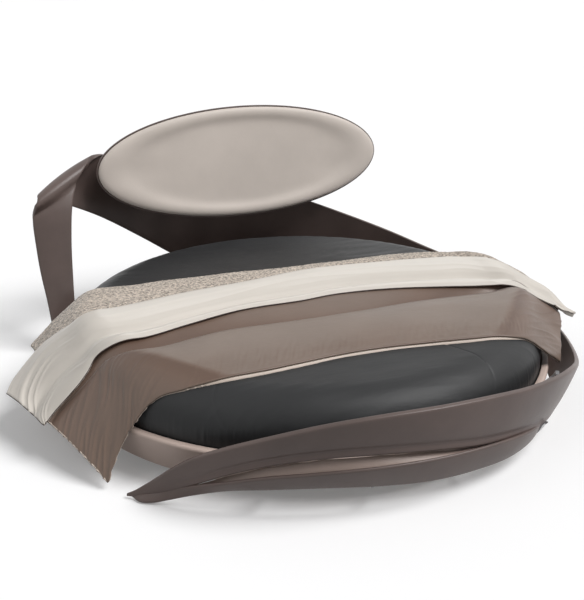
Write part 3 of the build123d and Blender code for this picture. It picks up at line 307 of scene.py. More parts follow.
# Depths of what creases the layers.
NUB_LARGE, NUB_SMALL, THROW_WAVE = 0.0022, 0.0012, 0.005
COVERLET_CREASE, COVERLET_FAN, COVERLET_DRIFT = 0.0016, 0.0045, 0.06
QUILT_SLACK, QUILT_PUCKER, QUILT_PULL, QUILT_WANDER = 0.006, 0.0008, 0.004, 0.012
# Rounding of a hem, as a share of its cloth's thickness.
HEM_ROUND = 0.45
HEM_THICKNESS = 0.002
# Strip of the quilt's lining: share of its drop, and how far out it stands.
HEM_STRIP = ((0.0, -0.003), (0.4, 0.006), (1.0, 0.013))
COVERLET_CORD = 0.0024
QUILT_CORD = 0.0030
# Painted light and shade on the satins, lighter where the cloth faces up and darker on its slopes: how far the
# cloth faces up, and the factor on its colour.
COVERLET_PAINTED_SHADE = (
    (0.30, (0.90, 0.89, 0.88)), (0.85, (0.80, 0.79, 0.78)), (0.975, (0.88, 0.87, 0.86)),
    (0.997, (1.0, 1.0, 1.0)),
)
QUILT_PAINTED_SHADE = (
    (0.30, (0.56, 0.50, 0.46)), (0.80, (0.48, 0.38, 0.33)), (0.945, (0.37, 0.27, 0.22)),
    (0.968, (0.48, 0.38, 0.33)), (0.999, (0.72, 0.70, 0.69)),
)

# Camera, lamps and floor
CAMERA_PLACE = (-1.4522, -3.6448, 1.8765)
CAMERA_DOWN, CAMERA_TURN = 20.96, -21.0
CAMERA_LENS, CAMERA_SENSOR = 56.15, 36.0
KEY_PLACE, KEY_SPREAD = (1.5, -0.9, 2.4), 34.0
FILL_PLACE, FILL_SPREAD = (-2.0, -0.3, 2.0), 45.0
FLOOR_REACH = 30.0
FLOOR_BOUNCE = 0.5
FLOOR_GLOW = 0.16
WHITE = (1.0, 1.0, 1.0, 1.0)

# Finishes of the parts that carry the bed
TICKING_COLOUR = (0.72, 0.70, 0.66)
WOOD_COLOUR = (0.42, 0.27, 0.15)
STEEL_COLOUR = (0.42, 0.42, 0.43)
GLIDE_COLOUR = (0.02, 0.02, 0.02)


# Colours and sizes that a user would change

def colour_setting(label, told, value):
    """A colour, as a property of the scene."""
    return FloatVectorProperty(
        name=label, description=told, default=value, size=3, min=0.0, max=1.0, subtype="COLOR"
    )


def size_setting(label, told, value, low, high):
    """A size in metres, as a property of the scene."""
    return FloatProperty(name=label, description=told, default=value, min=low, max=high, unit="LENGTH")


def strength_setting(label, told, value, high=10.0):
    """Strength of a light, as a property of the scene."""
    return FloatProperty(name=label, description=told, default=value, min=0.0, max=high)


class RoundBedLeather(bpy.types.PropertyGroup):
    """Leather of the ribbon, the base and the headboard."""

    ribbon: colour_setting("Ribbon", "Dark brown leather of the ribbon", (0.112, 0.081, 0.072))
    # Painted highlight: the ledge is drawn paler than the ribbon to stand in for the light on its upward face.
    ledge: colour_setting("Ledge", "Paler leather between the two front leaves", (0.340, 0.260, 0.225))
    base: colour_setting("Base", "Rose beige leather of the ring", (0.560, 0.445, 0.390))
    headboard: colour_setting("Headboard", "Beige leather of the pad", (0.660, 0.590, 0.535))
    grain: size_setting("Grain", "Size of the leather's pores", 0.0016, 0.0004, 0.01)


class RoundBedBedding(bpy.types.PropertyGroup):
    """Cloth on the mattress."""

    sheet: colour_setting("Sheet", "Black satin of the fitted sheet", (0.023, 0.0235, 0.0245))
    throw: colour_setting("Throw", "Looped beige yarn of the throw", (0.520, 0.450, 0.385))
    coverlet: colour_setting("Coverlet", "Ivory satin of the coverlet", (0.760, 0.715, 0.655))
    quilt: colour_setting("Quilt", "Brown satin of the quilt", (0.290, 0.230, 0.190))
    piping: colour_setting("Piping", "Dark piping on the edges", (0.038, 0.020, 0.014))
    hem: colour_setting("Hem", "Pale lining along the quilt's edge", (0.600, 0.505, 0.435))
    throw_thickness: size_setting("Throw thickness", "Thickness of the throw", 0.011, 0.004, 0.03)
    coverlet_thickness: size_setting("Coverlet thickness", "Thickness of the coverlet", 0.007, 0.003, 0.02)
    quilt_thickness: size_setting("Quilt thickness", "Thickness of the quilt", 0.009, 0.004, 0.03)
    quilt_loft: size_setting("Quilt loft", "How high the quilt's filling stands", QUILT_LOFT, 0.0, 0.06)
    steps: IntProperty(
        name="Steps", description="Faces along each layer of bedding", default=460, min=100, max=900
    )


class RoundBedStudio(bpy.types.PropertyGroup):
    """Floor and light."""

    floor: colour_setting("Floor", "Pale floor", (0.86, 0.86, 0.865))
    sky: strength_setting("Sky", "Strength of the soft light from all round", 0.26, 2.0)
    key: strength_setting("Key", "Strength of the light from the right", 2.6)
    fill: strength_setting("Fill", "Strength of the light from the left", 0.30)


class RoundBedSettings(bpy.types.PropertyGroup):
    """Everything that can be changed."""

    leather: PointerProperty(type=RoundBedLeather)
    bedding: PointerProperty(type=RoundBedBedding)
    studio: PointerProperty(type=RoundBedStudio)


# Materials

def new_material(name, colour, roughness, specular=0.5, sheen=0.0, sheen_roughness=0.4):
    """Material with its even values set on the shader, and its shader node."""
    material = bpy.data.materials.new(name)
    material.use_nodes = True
    shader = material.node_tree.nodes["Principled BSDF"]
    shader.inputs["Base Color"].default_value = (*colour, 1.0)
    shader.inputs["Roughness"].default_value = roughness
    shader.inputs["Specular IOR Level"].default_value = specular
    shader.inputs["Sheen Weight"].default_value = sheen
    shader.inputs["Sheen Roughness"].default_value = sheen_roughness
    material.diffuse_color = (*colour, 1.0)
    return material, shader


def object_place(tree, stretch=(1.0, 1.0, 1.0)):
    """Coordinates in metres, stretched."""
    place = tree.nodes.new("ShaderNodeTexCoord")
    mapping = tree.nodes.new("ShaderNodeMapping")
    mapping.inputs["Scale"].default_value = stretch
    tree.links.new(place.outputs["Object"], mapping.inputs["Vector"])
    return mapping.outputs["Vector"]


def noise_node(tree, vector, scale, detail=3.0, roughness=0.5):
    """Soft noise at a scale per metre."""
    node = tree.nodes.new("ShaderNodeTexNoise")
    node.inputs["Scale"].default_value = scale
    node.inputs["Detail"].default_value = detail
    node.inputs["Roughness"].default_value = roughness
    tree.links.new(vector, node.inputs["Vector"])
    return node.outputs["Fac"]


def colour_range(tree, factor, low, high, low_at=0.3, high_at=0.7):
    """Colour that runs between two values as a factor grows."""
    ramp = tree.nodes.new("ShaderNodeValToRGB")
    ramp.color_ramp.elements[0].position = low_at
    ramp.color_ramp.elements[0].color = (*low, 1.0)
    ramp.color_ramp.elements[1].position = high_at
    ramp.color_ramp.elements[1].color = (*high, 1.0)
    tree.links.new(factor, ramp.inputs["Fac"])
    return ramp.outputs["Color"]


def toned(tree, shader, factor, colour, darkest, lightest, low_at=0.3, high_at=0.7):
    """Base colour that runs between two tones of a colour as a factor grows."""
    tone = colour_range(tree, factor, scaled(colour, darkest), scaled(colour, lightest), low_at, high_at)
    tree.links.new(tone, shader.inputs["Base Color"])


def value_range(tree, factor, low, high):
    """Number that runs between two values as a factor grows."""
    node = tree.nodes.new("ShaderNodeMapRange")
    node.inputs["To Min"].default_value = low
    node.inputs["To Max"].default_value = high
    tree.links.new(factor, node.inputs["Value"])
    return node.outputs["Result"]


def bumped(tree, shader, heights):
    """Bumps on the shader, from (height output, strength, distance) one after another."""
    before = None
    for height, strength, distance in heights:
        bump = tree.nodes.new("ShaderNodeBump")
        bump.inputs["Strength"].default_value = strength
        bump.inputs["Distance"].default_value = distance
        tree.links.new(height, bump.inputs["Height"])
        if before:
            tree.links.new(before, bump.inputs["Normal"])
        before = bump.outputs["Normal"]
    tree.links.new(before, shader.inputs["Normal"])


def scaled(colour, factor):
    """A colour made lighter or darker."""
    return tuple(min(channel * factor, 1.0) for channel in colour)


def leather_material(name, colour, pore, roughness, specular, variety):
    """Satin leather: pores, faint wrinkles and slow changes of tone."""
    material, shader = new_material(name, colour, roughness, specular)
    tree = material.node_tree
    place = object_place(tree)
    tone = noise_node(tree, place, 3.2, 4.0, 0.55)
    toned(tree, shader, tone, colour, 1.0 - variety, 1.0 + variety)
    polish = noise_node(tree, place, 9.0, 5.0)
    tree.links.new(
        value_range(tree, polish, roughness - 0.06, roughness + 0.07), shader.inputs["Roughness"]
    )
    cells = tree.nodes.new("ShaderNodeTexVoronoi")
    cells.feature = "DISTANCE_TO_EDGE"
    cells.inputs["Scale"].default_value = 1.0 / pore
    tree.links.new(place, cells.inputs["Vector"])
    wrinkles = noise_node(tree, place, 60.0, 4.0)
    bumped(tree, shader, [(wrinkles, 0.12, 0.002), (cells.outputs["Distance"], 0.10, 0.0006)])
    return material


def satin_material(name, colour, crease, roughness, sheen, variety, specular=0.5):
    """Satin: fine threads, a soft sheen and faint creases along one way."""
    material, shader = new_material(name, colour, roughness, specular, sheen, 0.35)
    tree = material.node_tree
    tone = noise_node(tree, object_place(tree), 4.0, 4.0)
    toned(tree, shader, tone, colour, 1.0 - variety, 1.0 + variety)
    threads = tree.nodes.new("ShaderNodeTexWave")
    threads.inputs["Scale"].default_value = 420.0
    threads.inputs["Distortion"].default_value = 1.5
    tree.links.new(object_place(tree), threads.inputs["Vector"])
    creases = noise_node(tree, object_place(tree, crease), 1.0, 6.0, 0.6)
    bumped(tree, shader, [(creases, 0.30, 0.006), (threads.outputs["Fac"], 0.05, 0.0004)])
    return material


def painted_slope_shade(material, colours):
    """Painted light and shade of a satin by its slope, from (how far the cloth faces up, factor on its colour)."""
    tree = material.node_tree
    shader = tree.nodes["Principled BSDF"]
    surface = tree.nodes.new("ShaderNodeNewGeometry")
    split = tree.nodes.new("ShaderNodeSeparateXYZ")
    tree.links.new(surface.outputs["Normal"], split.inputs["Vector"])
    ramp = tree.nodes.new("ShaderNodeValToRGB")
    points = ramp.color_ramp.elements
    while len(points) < len(colours):
        points.new(0.5)
    for point, (place, tone) in zip(points, colours):
        point.position = place
        point.color = (*tone, 1.0)
    # Painted shade: the colour is multiplied down where the normal turns away from straight up.
    tree.links.new(split.outputs["Z"], ramp.inputs["Fac"])
    mix = tree.nodes.new("ShaderNodeMix")
    mix.data_type = "RGBA"
    mix.blend_type = "MULTIPLY"
    mix.inputs["Factor"].default_value = 1.0
    before = shader.inputs["Base Color"].links[0].from_socket
    tree.links.new(before, mix.inputs["A"])
    tree.links.new(ramp.outputs["Color"], mix.inputs["B"])
    tree.links.new(mix.outputs["Result"], shader.inputs["Base Color"])


def boucle_material(name, colour):
    """Looped yarn in mixed beiges."""
    material, shader = new_material(name, colour, 0.92, 0.2, 0.35)
    tree = material.node_tree
    place = object_place(tree)
    loops = tree.nodes.new("ShaderNodeTexVoronoi")
    loops.inputs["Scale"].default_value = 150.0
    tree.links.new(place, loops.inputs["Vector"])
    flecks = noise_node(tree, place, 85.0, 5.0, 0.75)
    toned(tree, shader, flecks, colour, 0.38, 1.55, 0.38, 0.62)
    bumped(tree, shader, [(loops.outputs["Distance"], 0.7, 0.004), (flecks, 0.5, 0.003)])
    return material


def wood_material(name, colour):
    """Plain bare wood with grain along the board."""
    material, shader = new_material(name, colour, 0.6, 0.35)
    tree = material.node_tree
    grain = noise_node(tree, object_place(tree, (3.0, 60.0, 60.0)), 1.0, 5.0, 0.6)
    toned(tree, shader, grain, colour, 0.72, 1.15)
    bumped(tree, shader, [(grain, 0.2, 0.001)])
    return material


def steel_material(name, colour):
    """Brushed steel."""
    material, shader = new_material(name, colour, 0.35)
    shader.inputs["Metallic"].default_value = 1.0
    tree = material.node_tree
    brush = noise_node(tree, object_place(tree, (20.0, 400.0, 400.0)), 1.0, 3.0)
    tree.links.new(value_range(tree, brush, 0.28, 0.45), shader.inputs["Roughness"])
    return material


def plastic_material(name, colour):
    """Moulded glides."""
    material, shader = new_material(name, colour, 0.5, 0.4)
    tree = material.node_tree
    bumped(tree, shader, [(noise_node(tree, object_place(tree), 700.0, 2.0), 0.1, 0.0004)])
    return material


# Meshes

def new_piece(name, points, faces, material, body, replaced=()):
    """Smooth closed piece that rides on a body and stands for CAD nodes."""
    mesh = bpy.data.meshes.new(name)
    mesh.from_pydata([tuple(point) for point in points], [], [tuple(face) for face in faces])
    work = bmesh.new()
    work.from_mesh(mesh)
    bmesh.ops.remove_doubles(work, verts=work.verts, dist=0.00005)
    bmesh.ops.recalc_face_normals(work, faces=work.faces)
    for face in work.faces:
        face.smooth = True
    work.to_mesh(mesh)
    work.free()
    mesh.materials.append(material)
    piece = bpy.data.objects.new(name, mesh)
    bpy.context.scene.collection.objects.link(piece)
    bpy.context.view_layer.update()
    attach(piece, body)
    if replaced:
        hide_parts(*replaced)
    return piece


def unit(vectors):
    """Vectors brought to length one."""
    lengths = np.linalg.norm(vectors, axis=-1, keepdims=True)
    return vectors / np.maximum(lengths, 1e-9)


def swept(sections, closed):
    """Points and faces of a skin through equal closed outlines, ended by caps or joined round."""
    count, around = sections.shape[:2]
    points = sections.reshape(-1, 3)
    faces = []
    for row in range(count if closed else count - 1):
        after = (row + 1) % count
        for column in range(around):
            beside = (column + 1) % around
            faces.append((
                row * around + column, after * around + column, after * around + beside, row * around + beside
            ))
    if not closed:
        faces.append(tuple(range(around)))
        faces.append(tuple((count - 1) * around + column for column in reversed(range(around))))
    return points, faces


def tube(path, radius, around=8):
    """Points and faces of a round cord along a path."""
    path = np.asarray(path, float)
    along = unit(np.gradient(path, axis=0))
    side = unit(np.cross(along, (0.0, 0.0, 1.0)) + 1e-6)
    rise = unit(np.cross(side, along))
    turns = np.arange(around) * 2 * math.pi / around
    sections = (
        path[:, None]
        + radius * np.cos(turns)[None, :, None] * side[:, None]
        + radius * np.sin(turns)[None, :, None] * rise[:, None]
    )
    return swept(sections, False)


def between(start, end, start_slope, end_slope, span, mix):
    """Smooth value between two knots that keeps a slope at each."""
    return (
        start + (3 * mix ** 2 - 2 * mix ** 3) * (end - start)
        + (mix ** 3 - 2 * mix ** 2 + mix) * start_slope * span
        + (mix ** 3 - mix ** 2) * end_slope * span
    )


def polar(angle, radius, height):
    """Point at an angle in degrees, a radius and a height."""
    turn = math.radians(angle)
    return np.array([radius * math.cos(turn), radius * math.sin(turn), height])


def ribbon_point(angle, reach, height):
    """Point of the ribbon from its shares."""
    return polar(angle, BASE_LIP_RADIUS + reach * RIBBON_REACH, height * RIBBON_RISE)


def row_from(upper, lower):
    """Row that holds two given edge points."""
    row = []
    for point in (upper, lower):
        radius = math.hypot(point[0], point[1])
        row += [math.degrees(math.atan2(point[1], point[0])), (radius - BASE_LIP_RADIUS) / RIBBON_REACH,
                point[2] / RIBBON_RISE]
    return tuple(row) + (1.0,)


class Rows:
    """Smooth curve through rows of shares, measured along the ribbon's middle."""

    def __init__(self, rows):
        self.rows = np.array(rows, float)
        middles = [self.edges(row) for row in self.rows]
        middles = np.array([(upper + lower) / 2 for upper, lower in middles])
        steps = np.linalg.norm(np.diff(middles, axis=0), axis=1)
        self.knots = np.concatenate([[0.0], np.cumsum(steps)])
        slopes = np.zeros_like(self.rows)
        spans = np.diff(self.knots)[:, None]
        rates = np.diff(self.rows, axis=0) / spans
        slopes[0] = rates[0]
        slopes[-1] = rates[-1]
        slopes[1:-1] = (rates[:-1] * spans[1:] + rates[1:] * spans[:-1]) / (spans[1:] + spans[:-1])
        self.slopes = slopes

    @staticmethod
    def edges(row):
        """Upper and lower edge points of a row."""
        return ribbon_point(*row[0:3]), ribbon_point(*row[3:6])

    def at(self, place):
        """Row at a distance along the middle."""
        index = int(np.clip(np.searchsorted(self.knots, place) - 1, 0, len(self.knots) - 2))
        span = self.knots[index + 1] - self.knots[index]
        return between(
            *self.rows[index:index + 2], *self.slopes[index:index + 2], span, (place - self.knots[index]) / span
        )

    def stations(self, spacing):
        """(upper, lower, outward, thickness share) at even steps."""
        length = self.knots[-1]
        count = max(int(round(length / spacing)), 4)
        found = []
        for step in range(count + 1):
            place = length * step / count
            row = self.at(place)
            before = sum(self.edges(self.at(max(place - spacing / 2, 0.0)))) / 2
            after = sum(self.edges(self.at(min(place + spacing / 2, length)))) / 2
            upper, lower = self.edges(row)
            outward = unit(np.cross(after - before, upper - lower))
            found.append((upper, lower, outward, row[6]))
        return found


def fold_stations(steps):
    """Stations that roll over the fold's slanted axis while the upper edge slides along it."""
    high = ribbon_point(*FOLD_AXIS[0])
    low = ribbon_point(*FOLD_AXIS[1])
    length = np.linalg.norm(low - high)
    along = unit(low - high)
    middle = (high + low) / 2
    inward = unit(np.array([-middle[0], -middle[1], 0.0]))
    inward = unit(inward - along * inward.dot(along))
    upward = unit(np.cross(along, inward))
    lines = []
    for step in range(steps + 1):
        share = step / steps
        turn = math.pi * share
        side = -math.copysign(abs(math.cos(turn)) ** FOLD_SQUARE, math.cos(turn))
        outward = upward * math.sin(turn) ** FOLD_SQUARE + inward * side
        upper_slide = FOLD_SLIDE_START + (FOLD_SLIDE_END - FOLD_SLIDE_START) * share
        taper = (FOLD_RADIUS_HIGH - FOLD_RADIUS_LOW) * max(upper_slide, 0.0) / length
        upper = high + outward * (FOLD_RADIUS_HIGH - taper) + along * upper_slide
        lower_slide = -FOLD_RADIUS_LOW * math.pi / 2 * (1 - share) + FOLD_LOW_SLIDE_END * share
        lower = low + outward * FOLD_RADIUS_LOW + along * lower_slide
        lines.append((upper, lower))
    found = []
    for step, (upper, lower) in enumerate(lines):
        before = sum(lines[max(step - 1, 0)]) / 2
        after = sum(lines[min(step + 1, steps)]) / 2
        found.append((upper, lower, unit(np.cross(after - before, upper - lower)), 1.0))
    return found


def ribbon_outline(station, thickness, bow_share, across=22, corner=5, roll=0.0):
    """Closed outline of the ribbon at a station, with rounded edges and a rolled lower lip."""
    upper, lower, outward, share = station
    width = np.linalg.norm(upper - lower)
    down = (lower - upper) / width
    half = thickness * share / 2
    round_edge = min(RIBBON_EDGE_ROUND, half * 0.9, width * 0.2)
    bow = bow_share * width
    shares = np.linspace(round_edge / width, 1 - round_edge / width, across)
    turns = [math.pi / 2 * step / corner for step in range(corner + 1)]

    def rounded(edge, inward, sideways, turn, lift=0.0):
        """Point of a rounded edge, from the strip's face at no turn to its rim at a right angle."""
        reach = half - round_edge * (1 - math.cos(turn)) + lift
        return edge + inward * round_edge * (1 - math.sin(turn)) + sideways * reach

    points = []
    for part in shares:
        swell = 4 * part * (1 - part) * bow
        rise = (1 - part) * width
        lip = roll * hump(rise, ROLL_PLACE, ROLL_WIDTH)
        groove = -GROOVE_SHARE * roll * hump(rise, GROOVE_PLACE, GROOVE_WIDTH)
        points.append(upper + down * part * width + outward * (half + swell + lip + groove))
    for step, turn in enumerate(turns[1:-1], 1):
        points.append(rounded(lower, -down, outward, turn, roll * 0.5 if step < corner / 2 else 0.0))
    points += [rounded(lower, -down, -outward, turn) for turn in reversed(turns)]
    for part in shares[::-1][1:]:
        swell = 4 * part * (1 - part) * bow
        points.append(upper + down * part * width + outward * (swell - half))
    points += [rounded(upper, down, -outward, turn) for turn in turns[1:]]
    points += [rounded(upper, down, outward, turn) for turn in reversed(turns[1:])]
    return np.array(points)


def leaf_row(row, thickness):
    """Row of the lower leaf with its thickness."""
    angle, up_reach, up_height, low_reach, low_height = row
    upper = ribbon_point(angle, up_reach, up_height)
    lower = ribbon_point(angle, low_reach, low_height)
    share = min(thickness, float(np.linalg.norm(upper - lower)) / 2) / RIBBON_THICKNESS
    return (angle, up_reach, up_height, angle, low_reach, low_height, share)


def row_between(rows, angle):
    """Reach and height shares of a leaf's two edges at an angle."""
    table = np.array([row[:3] + row[4:6] if len(row) == 7 else row for row in rows])
    return [float(np.interp(angle, table[:, 0], table[:, column])) for column in range(1, 5)]


# Cloth

def cloud(first, second, first_size, second_size, seed):
    """Smooth noise over two arrays of distances."""
    flat = np.stack([np.ravel(first) / first_size, np.ravel(second) / second_size], axis=1)
    values = [noise.noise(Vector((a, b, seed))) for a, b in flat]
    return np.array(values).reshape(np.shape(first))


def smooth_step(values, low, high):
    """Eases from 0 to 1 between two limits."""
    share = np.clip((values - low) / (high - low), 0.0, 1.0)
    return share * share * (3 - 2 * share)


def hump(values, middle, width):
    """Soft ridge of height one."""
    return np.exp(-((values - middle) / width) ** 2)


def ridges(first, second, first_size, second_size, seed, sharpness):
    """Creases where smooth noise crosses zero: one on them, less beside them."""
    return 1 - np.abs(cloud(first, second, first_size, second_size, seed)) * sharpness


def hang_height(radius, offset, hem):
    """Height of cloth over the mattress and down a straight hang to its hem."""
    reach, level = hem
    centre = MATTRESS_RADIUS - EDGE_ROUND
    base = MATTRESS_TOP - EDGE_ROUND
    round_top = EDGE_ROUND + offset
    end = BASE_LIP_RADIUS + reach + offset
    run = np.hypot(end - centre, level - base)
    touch = np.arctan2(level - base, end - centre) + np.arccos(round_top / run)
    touch_radius = centre + round_top * np.cos(touch)
    touch_height = base + round_top * np.sin(touch)
    slope = (level - touch_height) / (end - touch_radius)
    share = np.clip(radius / centre, 0.0, 1.0)
    top = MATTRESS_TOP + offset + MATTRESS_CROWN * (1 - smooth_step(share, 0.0, 1.0))
    over = np.clip(radius - centre, 0.0, touch_radius - centre)
    rounded = base + np.sqrt(np.maximum(round_top ** 2 - over ** 2, 0.0))
    hanging = touch_height + slope * (radius - touch_radius)
    return np.where(radius < centre, top, np.where(radius < touch_radius, rounded, hanging))


def curve_through(values, knots):
    """Smooth curve through (place, height) knots, read at many places."""
    places, heights = np.array(knots, float).T
    spans = np.diff(places)
    rates = np.diff(heights) / spans
    middle = (rates[:-1] * spans[1:] + rates[1:] * spans[:-1]) / (spans[1:] + spans[:-1])
    slopes = np.concatenate([rates[:1], middle, rates[-1:]])
    values = np.clip(values, places[0], places[-1])
    index = np.clip(np.searchsorted(places, values, side="right") - 1, 0, len(spans) - 1)
    span = spans[index]
    mix = (values - places[index]) / span
    return between(heights[index], heights[index + 1], slopes[index], slopes[index + 1], span, mix)


def smooth_path(points, count):
    """Even points along a smooth curve through given points."""
    points = np.asarray(points, float)
    steps = np.linalg.norm(np.diff(points[:, :2], axis=0), axis=1)
    knots = np.concatenate([[0.0], np.cumsum(np.sqrt(steps))])
    rates = np.diff(points, axis=0) / np.diff(knots)[:, None]
    slopes = np.vstack([rates[:1], (rates[:-1] + rates[1:]) / 2, rates[-1:]])
    places = np.linspace(0.0, knots[-1], count)
    index = np.clip(np.searchsorted(knots, places) - 1, 0, len(knots) - 2)
    span = (knots[index + 1] - knots[index])[:, None]
    mix = ((places - knots[index]) / span[:, 0])[:, None]
    return between(points[index], points[index + 1], slopes[index], slopes[index + 1], span, mix)


class Cloth:
    """Grid of a draped layer: dome points, normals and distances along and across it."""

    def __init__(self, ribs, hems, offset, along, across):
        dense = smooth_path(ribs, along * 6)
        middle = (dense[:, :2] + dense[:, 2:]) / 2
        heights = self.dome(middle[:, 0], middle[:, 1], offset, hems, 0.5)
        line = np.column_stack([middle, heights])
        steps = np.linalg.norm(np.diff(line, axis=0), axis=1)
        run = np.concatenate([[0.0], np.cumsum(steps)])
        even = np.linspace(0.0, run[-1], along)
        ribs = np.column_stack([np.interp(even, run, dense[:, column]) for column in range(4)])
        share = np.linspace(0.0, 1.0, across)[None, :, None]
        plan = ribs[:, None, :2] * (1 - share) + ribs[:, None, 2:] * share
        self.x, self.y = plan[..., 0], plan[..., 1]
        self.radius = np.hypot(self.x, self.y)
        self.share = np.broadcast_to(share[..., 0], self.x.shape)
        height = self.dome(self.x, self.y, offset, hems, self.share)
        self.dome_points = np.stack([self.x, self.y, height], axis=-1)
        self.along = self.distance(0)
        self.across = self.distance(1)
        self.normals = self.normals_of(self.dome_points)
        self.top = 1 - smooth_step(self.radius, MATTRESS_RADIUS - EDGE_ROUND, MATTRESS_RADIUS)

    @staticmethod
    def dome(x, y, offset, hems, share):
        """Height from the left hem on one side and the right hem on the other."""
        radius = np.hypot(x, y)
        sides = []
        for rear, front in hems:
            hem = [rear[item] + (front[item] - rear[item]) * share for item in range(2)]
            sides.append(hang_height(radius, offset, hem))
        return np.where(x < 0, sides[0], sides[1])

    def distance(self, axis):
        """Distance from the first row or column, along the surface."""
        steps = np.linalg.norm(np.diff(self.dome_points, axis=axis), axis=-1)
        start = np.zeros_like(np.take(self.x, [0], axis=axis))
        return np.concatenate([start, np.cumsum(steps, axis=axis)], axis=axis)

    @staticmethod
    def normals_of(points):
        """Normals that point up and outwards."""
        along = np.gradient(points, axis=0)
        across = np.gradient(points, axis=1)
        return unit(np.cross(across, along))

    def bulge(self, left, right, fall, end):
        """Height of the bulge where the cloth turns down over the edge."""
        shoulder = smooth_step(self.radius, BULGE_START, BULGE_FULL) * (1 - smooth_step(self.radius, fall, end))
        return shoulder * np.where(self.x < 0, left, right)

    def raised(self, lift):
        """Dome points moved out along their normals."""
        return self.dome_points + self.normals * lift[..., None]


def cloth_skin(grid, thickness):
    """Points and faces of a closed cloth under a grid of its upper side, with a rounded hem."""
    along, across = grid.shape[:2]
    normals = Cloth.normals_of(grid)
    under = grid - normals * thickness
    count = along * across
    loop = [(row, 0) for row in range(along)]
    loop += [(along - 1, column) for column in range(1, across)]
    loop += [(row, across - 1) for row in range(along - 2, -1, -1)]
    loop += [(0, column) for column in range(across - 2, 0, -1)]
    rows = np.array([item[0] for item in loop])
    columns = np.array([item[1] for item in loop])
    middle = (grid[rows, columns] + under[rows, columns]) / 2
    inner_rows = np.clip(rows, 1, along - 2)
    inner_columns = np.clip(columns, 1, across - 2)
    outward = unit(grid[rows, columns] - grid[inner_rows, inner_columns] + 1e-9)
    rim = middle + outward * thickness * HEM_ROUND
    points = np.vstack([grid.reshape(-1, 3), under.reshape(-1, 3), rim])
    faces = []
    for row in range(along - 1):
        for column in range(across - 1):
            first = row * across + column
            second = first + across
            faces.append((first, first + 1, second + 1, second))
            faces.append((count + first, count + second, count + second + 1, count + first + 1))
    edge = rows * across + columns
    total = len(loop)
    for place in range(total):
        after = (place + 1) % total
        a, b = int(edge[place]), int(edge[after])
        faces.append((a, b, 2 * count + after, 2 * count + place))
        faces.append((2 * count + place, 2 * count + after, count + b, count + a))
    return points, faces


# Pieces

def finished(operator, made):
    """Ends an operator, and raises if it made nothing."""
    if not made:
        raise RuntimeError(operator.bl_label + " made nothing")
    return {"FINISHED"}


class ROUNDBED_OT_ribbon(bpy.types.Operator):
    """One leather ribbon from the front tip round the bed, over the fold and down to the floor"""

    bl_idname = "round_bed.ribbon"
    bl_label = "Ribbon"
    bl_options = {"REGISTER", "UNDO"}

    def execute(self, context):
        leather = context.scene.round_bed.leather
        fold = fold_stations(FOLD_STEPS)
        band = Rows(FRONT_LEAF_ROWS + BAND_ROWS + [row_from(*fold[0][:2])])
        leg = Rows([row_from(*fold[-1][:2])] + LEG_ROWS)
        stations = band.stations(STATION_SPACING)[:-1] + fold[:-1] + leg.stations(STATION_SPACING)
        front_length = band.knots[len(FRONT_LEAF_ROWS) - 1]
        outlines = []
        for index, station in enumerate(stations):
            place = index * STATION_SPACING
            rolled = smooth_step(place, ROLL_STARTS, ROLL_FULL)
            rolled *= 1 - smooth_step(place, front_length - ROLL_FADE, front_length)
            outlines.append(
                ribbon_outline(station, RIBBON_THICKNESS, RIBBON_BOW, roll=ROLL_HEIGHT * rolled)
            )
        outlines[-1][:, 2] = FOOT_PLATE + FOOT_GAP
        dark = leather_material(
            "ribbon_leather", leather.ribbon, leather.grain, roughness=0.36, specular=0.36, variety=0.20
        )
        points, faces = swept(np.array(outlines), False)
        return finished(self, new_piece(
            "ribbon_skin", points, faces, dark, "frame",
            ("ribbon_front_leaf", "ribbon_right_bend", "ribbon_rear_waist", "ribbon_back_band",
             "ribbon_back_rise", "ribbon_top_fold", "ribbon_left_leg"),
        ))


